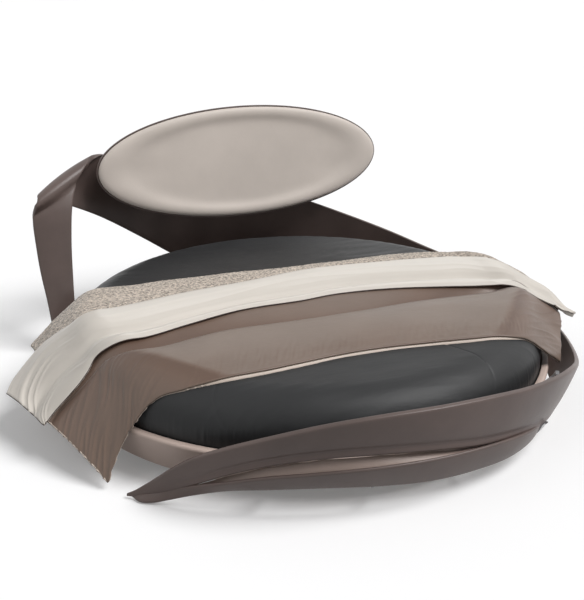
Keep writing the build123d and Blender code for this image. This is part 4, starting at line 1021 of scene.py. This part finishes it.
class ROUNDBED_OT_front_leaves(bpy.types.Operator):
    """The lower leaf at the front and the ledge between the leaves, whose paler colour is painted light on its
    upward face
    """

    bl_idname = "round_bed.front_leaves"
    bl_label = "Front Leaves"
    bl_options = {"REGISTER", "UNDO"}

    def execute(self, context):
        leather = context.scene.round_bed.leather
        rows = [leaf_row(row, LEAF_THICKNESS) for row in LOWER_LEAF_ROWS]
        stations = Rows(rows).stations(STATION_SPACING)
        outlines = [ribbon_outline(station, RIBBON_THICKNESS, RIBBON_BOW) for station in stations]
        points, faces = swept(np.array(outlines), False)
        leaf = new_piece(
            "lower_leaf_skin", points, faces, bpy.data.materials["ribbon_leather"], "frame",
            ("ribbon_lower_leaf",),
        )
        sections = [self.ledge_outline(angle) for angle in np.linspace(LEDGE_START, LEDGE_END, LEDGE_STATIONS)]
        points, faces = swept(np.array(sections), False)
        # Painted highlight: the ledge's paler colour stands in for the light on its upward face.
        pale = leather_material(
            "ledge_painted_highlight_leather", leather.ledge, leather.grain, roughness=0.42, specular=0.4, variety=0.08
        )
        ledge = new_piece("ledge_skin", points, faces, pale, "frame", ("ribbon_ledge",))
        return finished(self, leaf and ledge)

    @staticmethod
    def ledge_outline(angle):
        """Outline of the ledge at an angle, from the upper leaf's crease to the lower leaf's lip."""
        _, _, crease_reach, crease_height = row_between(FRONT_LEAF_ROWS, angle)
        lip_reach, lip_height, hem_reach, hem_height = row_between(LOWER_LEAF_ROWS, angle)
        level = min(lip_height, crease_height) * RIBBON_RISE - LEDGE_LIP_DROP
        slope = (lip_reach - hem_reach) * RIBBON_REACH / ((lip_height - hem_height) * RIBBON_RISE)
        outer_radius = BASE_LIP_RADIUS + lip_reach * RIBBON_REACH
        outer_radius -= slope * (lip_height * RIBBON_RISE - level + LEDGE_THICKNESS / 2)
        outer_radius -= LEAF_THICKNESS / 2 + LEDGE_THICKNESS / 2 + SOFT_GAP
        inner_radius = BASE_LIP_RADIUS + crease_reach * RIBBON_REACH - LEDGE_THICKNESS
        inner = polar(angle, inner_radius, crease_height * RIBBON_RISE - LEDGE_CREASE_DROP)
        outer = polar(angle, outer_radius, level)
        normal = unit(np.cross(outer - inner, np.cross((0, 0, 1.0), outer - inner)))
        return ribbon_outline((inner, outer, normal, 1.0), LEDGE_THICKNESS, LEDGE_BOW, 8, 3)


def headboard_matrix():
    """Place of the headboard: it leans back and is turned a little to the right about the vertical."""
    lean = math.radians(HEAD_LEAN)
    normal = Vector((0.0, -math.cos(lean), math.sin(lean)))
    across = Vector((1.0, 0.0, 0.0))
    up = normal.cross(across)
    place = Matrix((across, up, normal)).transposed().to_4x4()
    turned = Matrix.Rotation(math.radians(HEAD_TURN), 4, "Z") @ place
    turned.translation = Vector(HEAD_CENTRE)
    return turned


def placed_ring(wide, tall, level, turns):
    """Oval ring on the headboard, at a level from its front rim."""
    ring = np.stack([
        wide * np.cos(turns), tall * np.sin(turns), np.zeros_like(turns) + level, np.ones_like(turns)
    ], axis=1)
    return (ring @ np.array(headboard_matrix()).T)[:, :3]


def oval_skin(profile, around=220):
    """Points and faces from a profile of (share of the oval, inset from its edge, level)."""
    turns = np.arange(around) * 2 * math.pi / around
    rings = [
        placed_ring((HEAD_HALF_WIDTH - inset) * share, (HEAD_HALF_HEIGHT - inset) * share, level, turns)
        for share, inset, level in profile
    ]
    return swept(np.array(rings), False)


def pad_skin(profile, around=260):
    """Points and faces of the pad, from a profile of (share of the oval's radius, level)."""
    turns = np.arange(around) * 2 * math.pi / around
    wide = HEAD_HALF_WIDTH - HEAD_RIM - PAD_GAP
    tall = HEAD_HALF_HEIGHT - HEAD_RIM - PAD_GAP
    wave = PAD_WAVE * np.sin(turns * PAD_WAVES + PAD_WAVE_START)
    rings = [
        placed_ring(wide * share, tall * share, level + wave * (share > PAD_WAVE_SHARE), turns)
        for share, level in profile
    ]
    return swept(np.array(rings), False)


class ROUNDBED_OT_headboard(bpy.types.Operator):
    """Oval shell with a thin dark rim, and the beige pad with its rolled border"""

    bl_idname = "round_bed.headboard"
    bl_label = "Headboard"
    bl_options = {"REGISTER", "UNDO"}

    def execute(self, context):
        leather = context.scene.round_bed.leather
        edge = HEAD_EDGE_ROUND
        inner = (HEAD_RIM + HEAD_FLOOR_INSET, -HEAD_DEPTH + HEAD_FLOOR)
        back_inset = HEAD_TAPER + HEAD_BACK_INSET
        sides = [
            inner, (HEAD_RIM + 0.0015, -edge), (HEAD_RIM - edge * 0.4, -edge * 0.3), (HEAD_RIM / 2, 0.0),
            (edge * 0.4, -edge * 0.3), (0.0, -edge), (0.0005, -HEAD_DEPTH * 0.20), (0.003, -HEAD_DEPTH * 0.40),
            (0.009, -HEAD_DEPTH * 0.62), (0.017, -HEAD_DEPTH * 0.80),
            (HEAD_TAPER - 0.003, -HEAD_DEPTH + 0.005), (back_inset, -HEAD_DEPTH),
        ]
        profile = [(share, *inner) for share in (0.02, 0.3, 0.6, 0.85)]
        profile += [(1.0, inset, level) for inset, level in sides]
        back = -HEAD_DEPTH - HEAD_BACK_SKIN
        profile += [(share, back_inset, back) for share in (0.995, 0.85, 0.6, 0.3, 0.02)]
        points, faces = oval_skin(profile)
        dark = leather_material(
            "headboard_shell_leather", scaled(leather.ribbon, 0.95), leather.grain, roughness=0.38, specular=0.42,
            variety=0.10,
        )
        shell = new_piece(
            "headboard_shell_skin", points, faces, dark, "frame", ("headboard_shell",)
        )
        points, faces = pad_skin(PAD_PROFILE)
        beige = leather_material(
            "headboard_leather", leather.headboard, leather.grain, roughness=0.52, specular=0.35, variety=0.05
        )
        pad = new_piece(
            "headboard_cushion", points, faces, beige, "frame", ("headboard_pad",)
        )
        return finished(self, shell and pad)


class ROUNDBED_OT_base(bpy.types.Operator):
    """Leather round the ring that carries the mattress"""

    bl_idname = "round_bed.base"
    bl_label = "Base"
    bl_options = {"REGISTER", "UNDO"}

    def execute(self, context):
        leather = context.scene.round_bed.leather
        lip_level = BASE_TOP - BASE_LIP_DROP
        profile = [
            (BASE_FOOT_RADIUS - BASE_SKIN, BASE_BOTTOM), (BASE_FOOT_RADIUS, BASE_BOTTOM),
            (BASE_FOOT_RADIUS + 0.0015, BASE_BOTTOM + 0.003),
        ]
        for share in np.linspace(0.06, 1.0, BASE_SIDE_STEPS):
            radius = BASE_FOOT_RADIUS + (BASE_LIP_RADIUS - BASE_FOOT_RADIUS) * share
            puff = BASE_PUFF * math.sin(math.pi * share)
            profile.append((radius + puff, BASE_BOTTOM + (lip_level - BASE_BOTTOM) * share))
        for step in range(1, BASE_LIP_STEPS + 1):
            turn = math.pi / 2 * step / BASE_LIP_STEPS
            radius = BASE_LIP_RADIUS - BASE_LIP_ROUND + BASE_LIP_ROUND * math.cos(turn)
            profile.append((radius, lip_level + BASE_LIP_DROP * math.sin(turn)))
        outside = slice(2, len(profile))
        profile += [
            (BASE_REBATE_RADIUS + 0.004, BASE_TOP), (BASE_REBATE_RADIUS, BASE_TOP - 0.001),
            (BASE_REBATE_RADIUS, BASE_TOP - BASE_SKIN), (BASE_LIP_RADIUS - 0.012, BASE_TOP - BASE_SKIN),
            (BASE_LIP_RADIUS - BASE_SKIN, lip_level),
        ]
        profile = np.array(profile)
        outlines = []
        for angle in np.arange(BASE_STEPS_ROUND) * 360.0 / BASE_STEPS_ROUND:
            gap = min(abs((angle - seam + 180) % 360 - 180) for seam in BASE_SEAMS)
            turn = math.radians(angle)
            radius = profile[:, 0].copy()
            radius[outside] -= BASE_SEAM_DEPTH * hump(math.radians(gap) * BASE_LIP_RADIUS, 0.0, BASE_SEAM_WIDTH)
            outlines.append(
                np.column_stack([radius * math.cos(turn), radius * math.sin(turn), profile[:, 1]])
            )
        points, faces = swept(np.array(outlines), True)
        rose = leather_material(
            "base_leather", leather.base, leather.grain, roughness=0.45, specular=0.4, variety=0.05
        )
        return finished(self, new_piece(
            "base_upholstery", points, faces, rose, "frame",
            ("ring_cover_1", "ring_cover_2", "ring_cover_3", "ring_cover_4"),
        ))


def mattress_line(inset, steps=26):
    """(radius, height) of the mattress's outside, from its seat to its crown."""
    centre = MATTRESS_RADIUS - EDGE_ROUND
    level = MATTRESS_TOP - EDGE_ROUND
    foot = MATTRESS_FOOT_ROUND
    line = []
    for turn in np.linspace(-math.pi / 2, 0.0, 7):
        line.append((MATTRESS_RADIUS - foot + (foot - inset) * math.cos(turn),
                     MATTRESS_SEAT + foot + (foot - inset) * math.sin(turn)))
    for share in np.linspace(0.12, 1.0, 9):
        line.append((MATTRESS_RADIUS - inset, MATTRESS_SEAT + foot + (level - MATTRESS_SEAT - foot) * share))
    for step in range(1, steps + 1):
        turn = math.pi / 2 * step / steps
        line.append((centre + (EDGE_ROUND - inset) * math.cos(turn), level + (EDGE_ROUND - inset) * math.sin(turn)))
    for share in np.linspace(0.97, 0.02, 34):
        rise = MATTRESS_CROWN * (1 - smooth_step(share, 0.0, 1.0))
        line.append((centre * share, MATTRESS_TOP - inset + rise))
    return np.array(line)


class ROUNDBED_OT_mattress(bpy.types.Operator):
    """Mattress, and the black satin sheet stretched over it with gathers and radial seams"""

    bl_idname = "round_bed.mattress"
    bl_label = "Mattress"
    bl_options = {"REGISTER", "UNDO"}

    def execute(self, context):
        turns = np.arange(MATTRESS_STEPS_ROUND) * 2 * math.pi / MATTRESS_STEPS_ROUND
        sheet = self.sheet(context.scene.round_bed.bedding, turns)
        body = self.body(turns[::TICKING_STEP])
        return finished(self, sheet and body)

    @staticmethod
    def creases(turns, radius, height, run):
        """How far the sheet stands out: gathers on its side, ripples on its top, and seams."""
        arc = np.broadcast_to((turns * MATTRESS_RADIUS)[:, None], radius.shape)
        x = radius * np.cos(turns)[:, None]
        y = radius * np.sin(turns)[:, None]
        side = smooth_step(height, 0.165, 0.190) * (1 - smooth_step(height, 0.235, 0.330))
        strength = 0.35 + 0.65 * smooth_step(cloud(arc, arc, 0.55, 0.55, 3.1), -0.15, 0.25)
        gathers = np.abs(cloud(arc, run, 0.017, 0.30, 5.7)) * side * strength * SHEET_GATHER_DEPTH
        shoulder = smooth_step(height, 0.25, 0.33) * (1 - smooth_step(MATTRESS_RADIUS - radius, 0.30, 0.60))
        ripples = ridges(x + 0.25 * y, y, 0.42, 0.045, 8.2, 2.4) * shoulder
        flat_top = smooth_step(MATTRESS_RADIUS - radius, 0.10, 0.35)
        ripples += ridges(x - 0.15 * y, y, 0.60, 0.060, 1.9, 2.4) * flat_top * 0.8
        ripples = np.clip(ripples, -0.6, 1.0) * SHEET_RIPPLE_DEPTH
        wrinkles = np.clip(ridges(x - 0.5 * y, y + 0.12 * x, 0.50, 0.085, 6.3, 9.0), 0, 1)
        ripples += wrinkles * SHEET_WRINKLE_DEPTH * flat_top * smooth_step(y, 0.10, 0.40)
        seam = np.zeros_like(radius)
        for low_angle, high_angle in SHEET_SEAMS:
            angle = low_angle + (high_angle - low_angle) * smooth_step(height, 0.20, MATTRESS_TOP)
            gap = np.abs((np.degrees(turns)[:, None] - angle + 180) % 360 - 180)
            seam += hump(np.radians(gap) * radius, 0.0, SHEET_SEAM_WIDTH) * (radius > 0.2)
        push = gathers + ripples - SHEET_SEAM_DEPTH * np.clip(seam, 0, 1) * (1 - side * 0.5)
        return push * smooth_step(run, 0.020, 0.045)

    def sheet(self, bedding, turns):
        """Stretched sheet, closed by its inner side and the tuck under the mattress."""
        line = mattress_line(0.0)
        radius = np.broadcast_to(line[:, 0], (len(turns), len(line)))
        height = np.broadcast_to(line[:, 1], radius.shape)
        steps = np.linalg.norm(np.diff(line, axis=0), axis=1)
        run = np.broadcast_to(np.concatenate([[0.0], np.cumsum(steps)])[None], radius.shape)
        grid = np.stack([radius * np.cos(turns)[:, None], radius * np.sin(turns)[:, None], height], axis=-1)
        normals = unit(np.cross(np.gradient(grid, axis=1), np.roll(grid, -1, 0) - np.roll(grid, 1, 0)))
        if normals[0, 20, 0] < 0:
            normals = -normals
        outer = grid + normals * self.creases(turns, radius, height, run)[..., None]
        inner = grid - normals * SHEET_THICKNESS
        tuck = np.stack([SHEET_TUCK_RADIUS * np.cos(turns), SHEET_TUCK_RADIUS * np.sin(turns),
                         np.full(len(turns), MATTRESS_SEAT)], axis=-1)
        lifted = tuck + (0, 0, SHEET_THICKNESS)
        outer[:, 0, 2] = MATTRESS_SEAT
        inner[:, 0, 2] = MATTRESS_SEAT + SHEET_THICKNESS
        sections = np.concatenate([lifted[:, None], tuck[:, None], outer, inner[:, ::-1]], axis=1)
        points, faces = swept(sections, True)
        black = satin_material(
            "sheet_satin", bedding.sheet, (6.0, 22.0, 14.0), roughness=0.46, sheen=0.05, variety=0.10, specular=0.24
        )
        sheet = new_piece(
            "fitted_sheet_skin", points, faces, black, "mattress", ("fitted_sheet",)
        )
        return sheet

    @staticmethod
    def body(turns):
        """Mattress in its ticking, just inside the sheet."""
        line = mattress_line(SHEET_THICKNESS + TICKING_GAP)
        rings = np.stack([
            line[:, None, 0] * np.cos(turns),
            line[:, None, 0] * np.sin(turns),
            np.broadcast_to(line[:, None, 1], (len(line), len(turns))),
        ], axis=-1)
        points, faces = swept(rings, False)
        ticking, shader = new_material("ticking", TICKING_COLOUR, 0.85, 0.2)
        tree = ticking.node_tree
        weave = noise_node(tree, object_place(tree), 320.0, 2.0)
        bumped(tree, shader, [(weave, 0.3, 0.001)])
        body = new_piece("mattress_body", points, faces, ticking, "mattress",
                         ("mattress_core", "mattress_topper"))
        return body


class ROUNDBED_OT_throw(bpy.types.Operator):
    """Strip of looped beige cloth across the mattress"""

    bl_idname = "round_bed.throw"
    bl_label = "Throw"
    bl_options = {"REGISTER", "UNDO"}

    def execute(self, context):
        bedding = context.scene.round_bed.bedding
        thickness = bedding.throw_thickness
        cloth = Cloth(THROW_RIBS, THROW_HEMS, SOFT_GAP + thickness, bedding.steps, 64)
        nubs = cloud(cloth.along, cloth.across, 0.010, 0.010, 2.3) * NUB_LARGE
        nubs += cloud(cloth.along, cloth.across, 0.0055, 0.0055, 7.7) * NUB_SMALL
        waves = cloud(cloth.along, cloth.across, 0.22, 0.09, 4.4) * THROW_WAVE
        lift = curve_through(cloth.share, THROW_LIFT) * (0.55 + 0.45 * cloth.top)
        lift += cloth.bulge(*THROW_BULGE)
        lift += np.maximum(nubs, -0.002) + np.maximum(waves, 0.0)
        points, faces = cloth_skin(cloth.raised(lift), thickness)
        piece = new_piece(
            "boucle_throw_cloth", points, faces, boucle_material("boucle", bedding.throw), "mattress",
            ("boucle_throw",),
        )
        return finished(self, piece)


class ROUNDBED_OT_coverlet(bpy.types.Operator):
    """Ivory satin coverlet with long folds, a flap at the left and dark piping"""

    bl_idname = "round_bed.coverlet"
    bl_label = "Coverlet"
    bl_options = {"REGISTER", "UNDO"}

    def execute(self, context):
        bedding = context.scene.round_bed.bedding
        thickness = bedding.coverlet_thickness
        cloth = Cloth(COVERLET_RIBS, COVERLET_HEMS, SOFT_GAP + thickness, bedding.steps, 84)
        drift = cloud(cloth.along, cloth.along * 0, 0.9, 1.0, 6.6) * COVERLET_DRIFT
        v = np.clip(cloth.share + drift * 4 * cloth.share * (1 - cloth.share), 0.0, 1.0)
        lift = curve_through(v, COVERLET_LIFT) * (0.60 + 0.40 * cloth.top)
        lift += cloth.bulge(*COVERLET_BULGE) * (1 - 0.7 * smooth_step(v, 0.5, 1.0))
        creases = ridges(cloth.along, cloth.across, 0.75, 0.070, 9.3, 3.0)
        lift += np.clip(creases, -0.5, 1.0) * COVERLET_CREASE
        fan = ridges(cloth.along * 0.4, cloth.across + cloth.along * 0.12, 0.40, 0.055, 1.4, 4.0)
        lift += np.clip(fan, 0, 1) * COVERLET_FAN * (1 - cloth.top)
        grid = cloth.raised(lift)
        points, faces = cloth_skin(grid, thickness)
        ivory = satin_material(
            "coverlet_satin", bedding.coverlet, (3.0, 16.0, 10.0), roughness=0.48, sheen=0.25, variety=0.02,
            specular=0.35,
        )
        # Painted light and shade: the ivory is darkened on the slopes and left full where the cloth faces up.
        painted_slope_shade(ivory, COVERLET_PAINTED_SHADE)
        piece = new_piece("coverlet_cloth", points, faces, ivory, "mattress", ("satin_coverlet",))
        edge = np.concatenate([grid[0, ::4], grid[1:, -1][::2]])
        points, faces = tube(edge - (0, 0, thickness * 0.5), COVERLET_CORD)
        dark = satin_material(
            "piping_satin", bedding.piping, (30.0, 30.0, 30.0), roughness=0.45, sheen=0.1, variety=0.1
        )
        cord = new_piece("coverlet_piping", points, faces, dark, "mattress")
        return finished(self, piece and cord)


class ROUNDBED_OT_quilt(bpy.types.Operator):
    """Brown satin quilt with one long fold, puckers, a pale hem and hanging corners"""

    bl_idname = "round_bed.quilt"
    bl_label = "Quilt"
    bl_options = {"REGISTER", "UNDO"}

    def execute(self, context):
        bedding = context.scene.round_bed.bedding
        thickness = bedding.quilt_thickness
        cloth = Cloth(QUILT_RIBS, QUILT_HEMS, SOFT_GAP + thickness, bedding.steps, 110)
        lift = self.lift(cloth, bedding.quilt_loft)
        grid = cloth.raised(np.maximum(lift, -0.002))
        points, faces = cloth_skin(grid, thickness)
        brown = satin_material(
            "quilt_satin", bedding.quilt, (9.0, 14.0, 10.0), roughness=0.44, sheen=0.35, variety=0.07
        )
        # Painted light and shade: the brown is darkened on the slopes and falls, and lighter where the cloth faces
        # up.
        painted_slope_shade(brown, QUILT_PAINTED_SHADE)
        piece = new_piece("quilt_cloth", points, faces, brown, "mattress", ("satin_quilt",))
        pale = satin_material(
            "hem_satin", bedding.hem, (20.0, 20.0, 20.0), roughness=0.5, sheen=0.2, variety=0.03
        )
        normals = Cloth.normals_of(grid)
        drop = (0.002 + lift[:, -1] * cloth.top[:, -1] * 0.9)[:, None]
        outward = unit(grid[:, -1] - grid[:, -3]) * (0.25 + 0.75 * cloth.top[:, -1])[:, None]
        strip = [
            grid[:, -1] - normals[:, -1] * (thickness * 0.7 + drop * share) + outward * out
            for share, out in HEM_STRIP
        ]
        points, faces = cloth_skin(np.transpose(np.array(strip), (1, 0, 2)), HEM_THICKNESS)
        hem = new_piece("quilt_hem", points, faces, pale, "mattress")
        points, faces = tube(grid[0, ::4] - normals[0, -1] * thickness * 0.3, QUILT_CORD)
        cord = new_piece("quilt_piping", points, faces, pale, "mattress")
        return finished(self, piece and hem and cord)

    @staticmethod
    def lift(cloth, loft):
        """Height of the filling behind and ahead of the long crease, with puckers and pulls."""
        v = cloth.share
        wander = cloud(cloth.along, cloth.along * 0, 0.8, 1.0, 2.8) * QUILT_WANDER
        crease = np.maximum(curve_through(cloth.x, QUILT_CREASE) + wander, 0.01)
        behind = np.clip(v / crease, 0.0, 1.0)
        ahead = np.clip((v - crease) / (1 - crease), 0.0, 1.0)
        rear = QUILT_FRONT_LIFT[0][1] + QUILT_REAR_LIFT * (1 - behind) ** 0.85
        front = curve_through(ahead, QUILT_FRONT_LIFT) * loft / QUILT_LOFT
        lift = np.where(v < crease, rear, front)
        lift *= 0.35 + 0.65 * cloth.top
        lift += cloth.bulge(*QUILT_BULGE) * (1 - smooth_step(v, 0.1, 0.6))
        slack = cloud(cloth.along, cloth.across, 0.30, 0.16, 5.2) * QUILT_SLACK
        lift += slack * (1 - 0.5 * cloth.top) * smooth_step(ahead, 0.05, 0.3)
        puckers = ridges(cloth.along + cloth.across * 0.5, cloth.across, 0.017, 0.110, 3.9, 2.6)
        near_front = smooth_step(ahead, 0.40, 0.85)
        near_front *= 0.3 + 0.7 * smooth_step(cloud(cloth.along, v, 0.5, 1.0, 8.8), -0.2, 0.2)
        lift += np.clip(puckers, -0.3, 1.0) * QUILT_PUCKER * near_front * (1 - smooth_step(ahead, 0.90, 0.97))
        pulls = ridges(cloth.along, cloth.across + cloth.along * 0.55, 0.30, 0.034, 6.1, 3.0)
        return lift + np.clip(pulls, 0.0, 1.0) * QUILT_PULL * (1 - cloth.top) * smooth_step(v, 0.08, 0.3)


class ROUNDBED_OT_underframe(bpy.types.Operator):
    """Wood, steel and plastic of the parts under the mattress and behind the headboard"""

    bl_idname = "round_bed.underframe"
    bl_label = "Underframe"
    bl_options = {"REGISTER", "UNDO"}

    def execute(self, context):
        finishes = {
            "wood": wood_material("bare_wood", WOOD_COLOUR),
            "steel": steel_material("bracket_steel", STEEL_COLOUR),
            "glide": plastic_material("glide_plastic", GLIDE_COLOUR),
        }
        dressed = []
        slots = {item["node"]: item["material_slot"] for item in FRAME["record"]["subparts"]}
        for name, node in FRAME["nodes"].items():
            finish = finishes.get(slots.get(name))
            if finish:
                node.data.materials.clear()
                node.data.materials.append(finish)
                dressed.append(name)
        return finished(self, dressed)


class ROUNDBED_OT_stage(bpy.types.Operator):
    """Pale floor, soft light and the camera"""

    bl_idname = "round_bed.stage"
    bl_label = "Stage"
    bl_options = {"REGISTER", "UNDO"}

    def execute(self, context):
        scene = context.scene
        studio = scene.round_bed.studio
        self.floor(studio)
        self.sky(studio)
        self.lamp("key_lamp", KEY_PLACE, KEY_SPREAD, studio.key)
        self.lamp("fill_lamp", FILL_PLACE, FILL_SPREAD, studio.fill)
        scene.view_settings.view_transform = "Standard"
        camera_data = bpy.data.cameras.new("photo_camera")
        camera_data.sensor_fit = "VERTICAL"
        camera_data.sensor_height = CAMERA_SENSOR
        camera_data.lens = CAMERA_LENS
        camera = bpy.data.objects.new("photo_camera", camera_data)
        camera.location = CAMERA_PLACE
        camera.rotation_euler = (math.radians(90 - CAMERA_DOWN), 0.0, math.radians(CAMERA_TURN))
        scene.collection.objects.link(camera)
        scene.camera = camera
        return finished(self, camera)

    @staticmethod
    def seen_directly(tree):
        """Factor that is one for the camera and for mirrored and clear views."""
        path = tree.nodes.new("ShaderNodeLightPath")
        first = tree.nodes.new("ShaderNodeMath")
        first.operation = "MAXIMUM"
        tree.links.new(path.outputs["Is Camera Ray"], first.inputs[0])
        tree.links.new(path.outputs["Is Glossy Ray"], first.inputs[1])
        second = tree.nodes.new("ShaderNodeMath")
        second.operation = "MAXIMUM"
        tree.links.new(first.outputs[0], second.inputs[0])
        tree.links.new(path.outputs["Is Transmission Ray"], second.inputs[1])
        return second.outputs[0]

    def floor(self, studio):
        """Pale floor that bounces little light and shows white where it is lit."""
        mesh = bpy.data.meshes.new("floor")
        corners = [(FLOOR_REACH * x, FLOOR_REACH * y, 0) for x, y in ((-1, -1), (1, -1), (1, 1), (-1, 1))]
        mesh.from_pydata(corners, [], [(0, 1, 2, 3)])
        floor = bpy.data.objects.new("floor", mesh)
        bpy.context.scene.collection.objects.link(floor)
        material, shader = new_material("floor_paint", studio.floor, 0.9, 0.1)
        tree = material.node_tree
        direct = self.seen_directly(tree)
        paint = tree.nodes.new("ShaderNodeMix")
        paint.data_type = "RGBA"
        paint.inputs["A"].default_value = (*scaled(studio.floor, FLOOR_BOUNCE), 1.0)
        paint.inputs["B"].default_value = (*studio.floor, 1.0)
        tree.links.new(direct, paint.inputs["Factor"])
        tree.links.new(paint.outputs["Result"], shader.inputs["Base Color"])
        shader.inputs["Emission Color"].default_value = WHITE
        lift = tree.nodes.new("ShaderNodeMath")
        lift.operation = "MULTIPLY"
        lift.inputs[1].default_value = FLOOR_GLOW
        tree.links.new(direct, lift.inputs[0])
        tree.links.new(lift.outputs[0], shader.inputs["Emission Strength"])
        mesh.materials.append(material)

    def sky(self, studio):
        """Soft light from all round, in front of a white background."""
        world = bpy.data.worlds.new("studio")
        bpy.context.scene.world = world
        world.use_nodes = True
        tree = world.node_tree
        background = tree.nodes["Background"]
        background.inputs["Color"].default_value = WHITE
        direct = self.seen_directly(tree)
        strength = tree.nodes.new("ShaderNodeMapRange")
        strength.inputs["To Min"].default_value = studio.sky
        strength.inputs["To Max"].default_value = 1.0
        tree.links.new(direct, strength.inputs["Value"])
        tree.links.new(strength.outputs["Result"], background.inputs["Strength"])

    @staticmethod
    def lamp(name, place, spread, strength):
        """Broad lamp that shines from a place towards the bed."""
        data = bpy.data.lights.new(name, "SUN")
        data.angle = math.radians(spread)
        data.energy = strength
        lamp = bpy.data.objects.new(name, data)
        lamp.location = place
        lamp.rotation_euler = (-Vector(place)).to_track_quat("-Z", "Y").to_euler()
        bpy.context.scene.collection.objects.link(lamp)


class ROUNDBED_PT_panel(bpy.types.Panel):
    """Lists every part of the bed and what can be changed"""

    bl_idname = "ROUNDBED_PT_panel"
    bl_label = "Round Bed"
    bl_space_type = "VIEW_3D"
    bl_region_type = "UI"
    bl_category = "Round Bed"

    def draw(self, context):
        layout = self.layout
        for operator in OPERATORS:
            layout.operator(operator.bl_idname)
        chosen = context.scene.round_bed
        for group in (chosen.leather, chosen.bedding, chosen.studio):
            box = layout.box()
            for name in group.__annotations__:
                box.prop(group, name)


GROUPS = (RoundBedLeather, RoundBedBedding, RoundBedStudio, RoundBedSettings)
OPERATORS = (
    ROUNDBED_OT_ribbon,
    ROUNDBED_OT_front_leaves,
    ROUNDBED_OT_headboard,
    ROUNDBED_OT_base,
    ROUNDBED_OT_mattress,
    ROUNDBED_OT_throw,
    ROUNDBED_OT_coverlet,
    ROUNDBED_OT_quilt,
    ROUNDBED_OT_underframe,
    ROUNDBED_OT_stage,
)


def register():
    """Adds the bed's settings, operators and panel."""
    for item in GROUPS + OPERATORS + (ROUNDBED_PT_panel,):
        bpy.utils.register_class(item)
    bpy.types.Scene.round_bed = PointerProperty(type=RoundBedSettings)


def unregister():
    """Takes them away again."""
    del bpy.types.Scene.round_bed
    for item in reversed(GROUPS + OPERATORS + (ROUNDBED_PT_panel,)):
        bpy.utils.unregister_class(item)


def main():
    """Builds the whole scene."""
    register()
    for operator in OPERATORS:
        group, name = operator.bl_idname.split(".")
        getattr(getattr(bpy.ops, group), name)()
    bpy.context.view_layer.update()


if __name__ == "__main__":
    main()
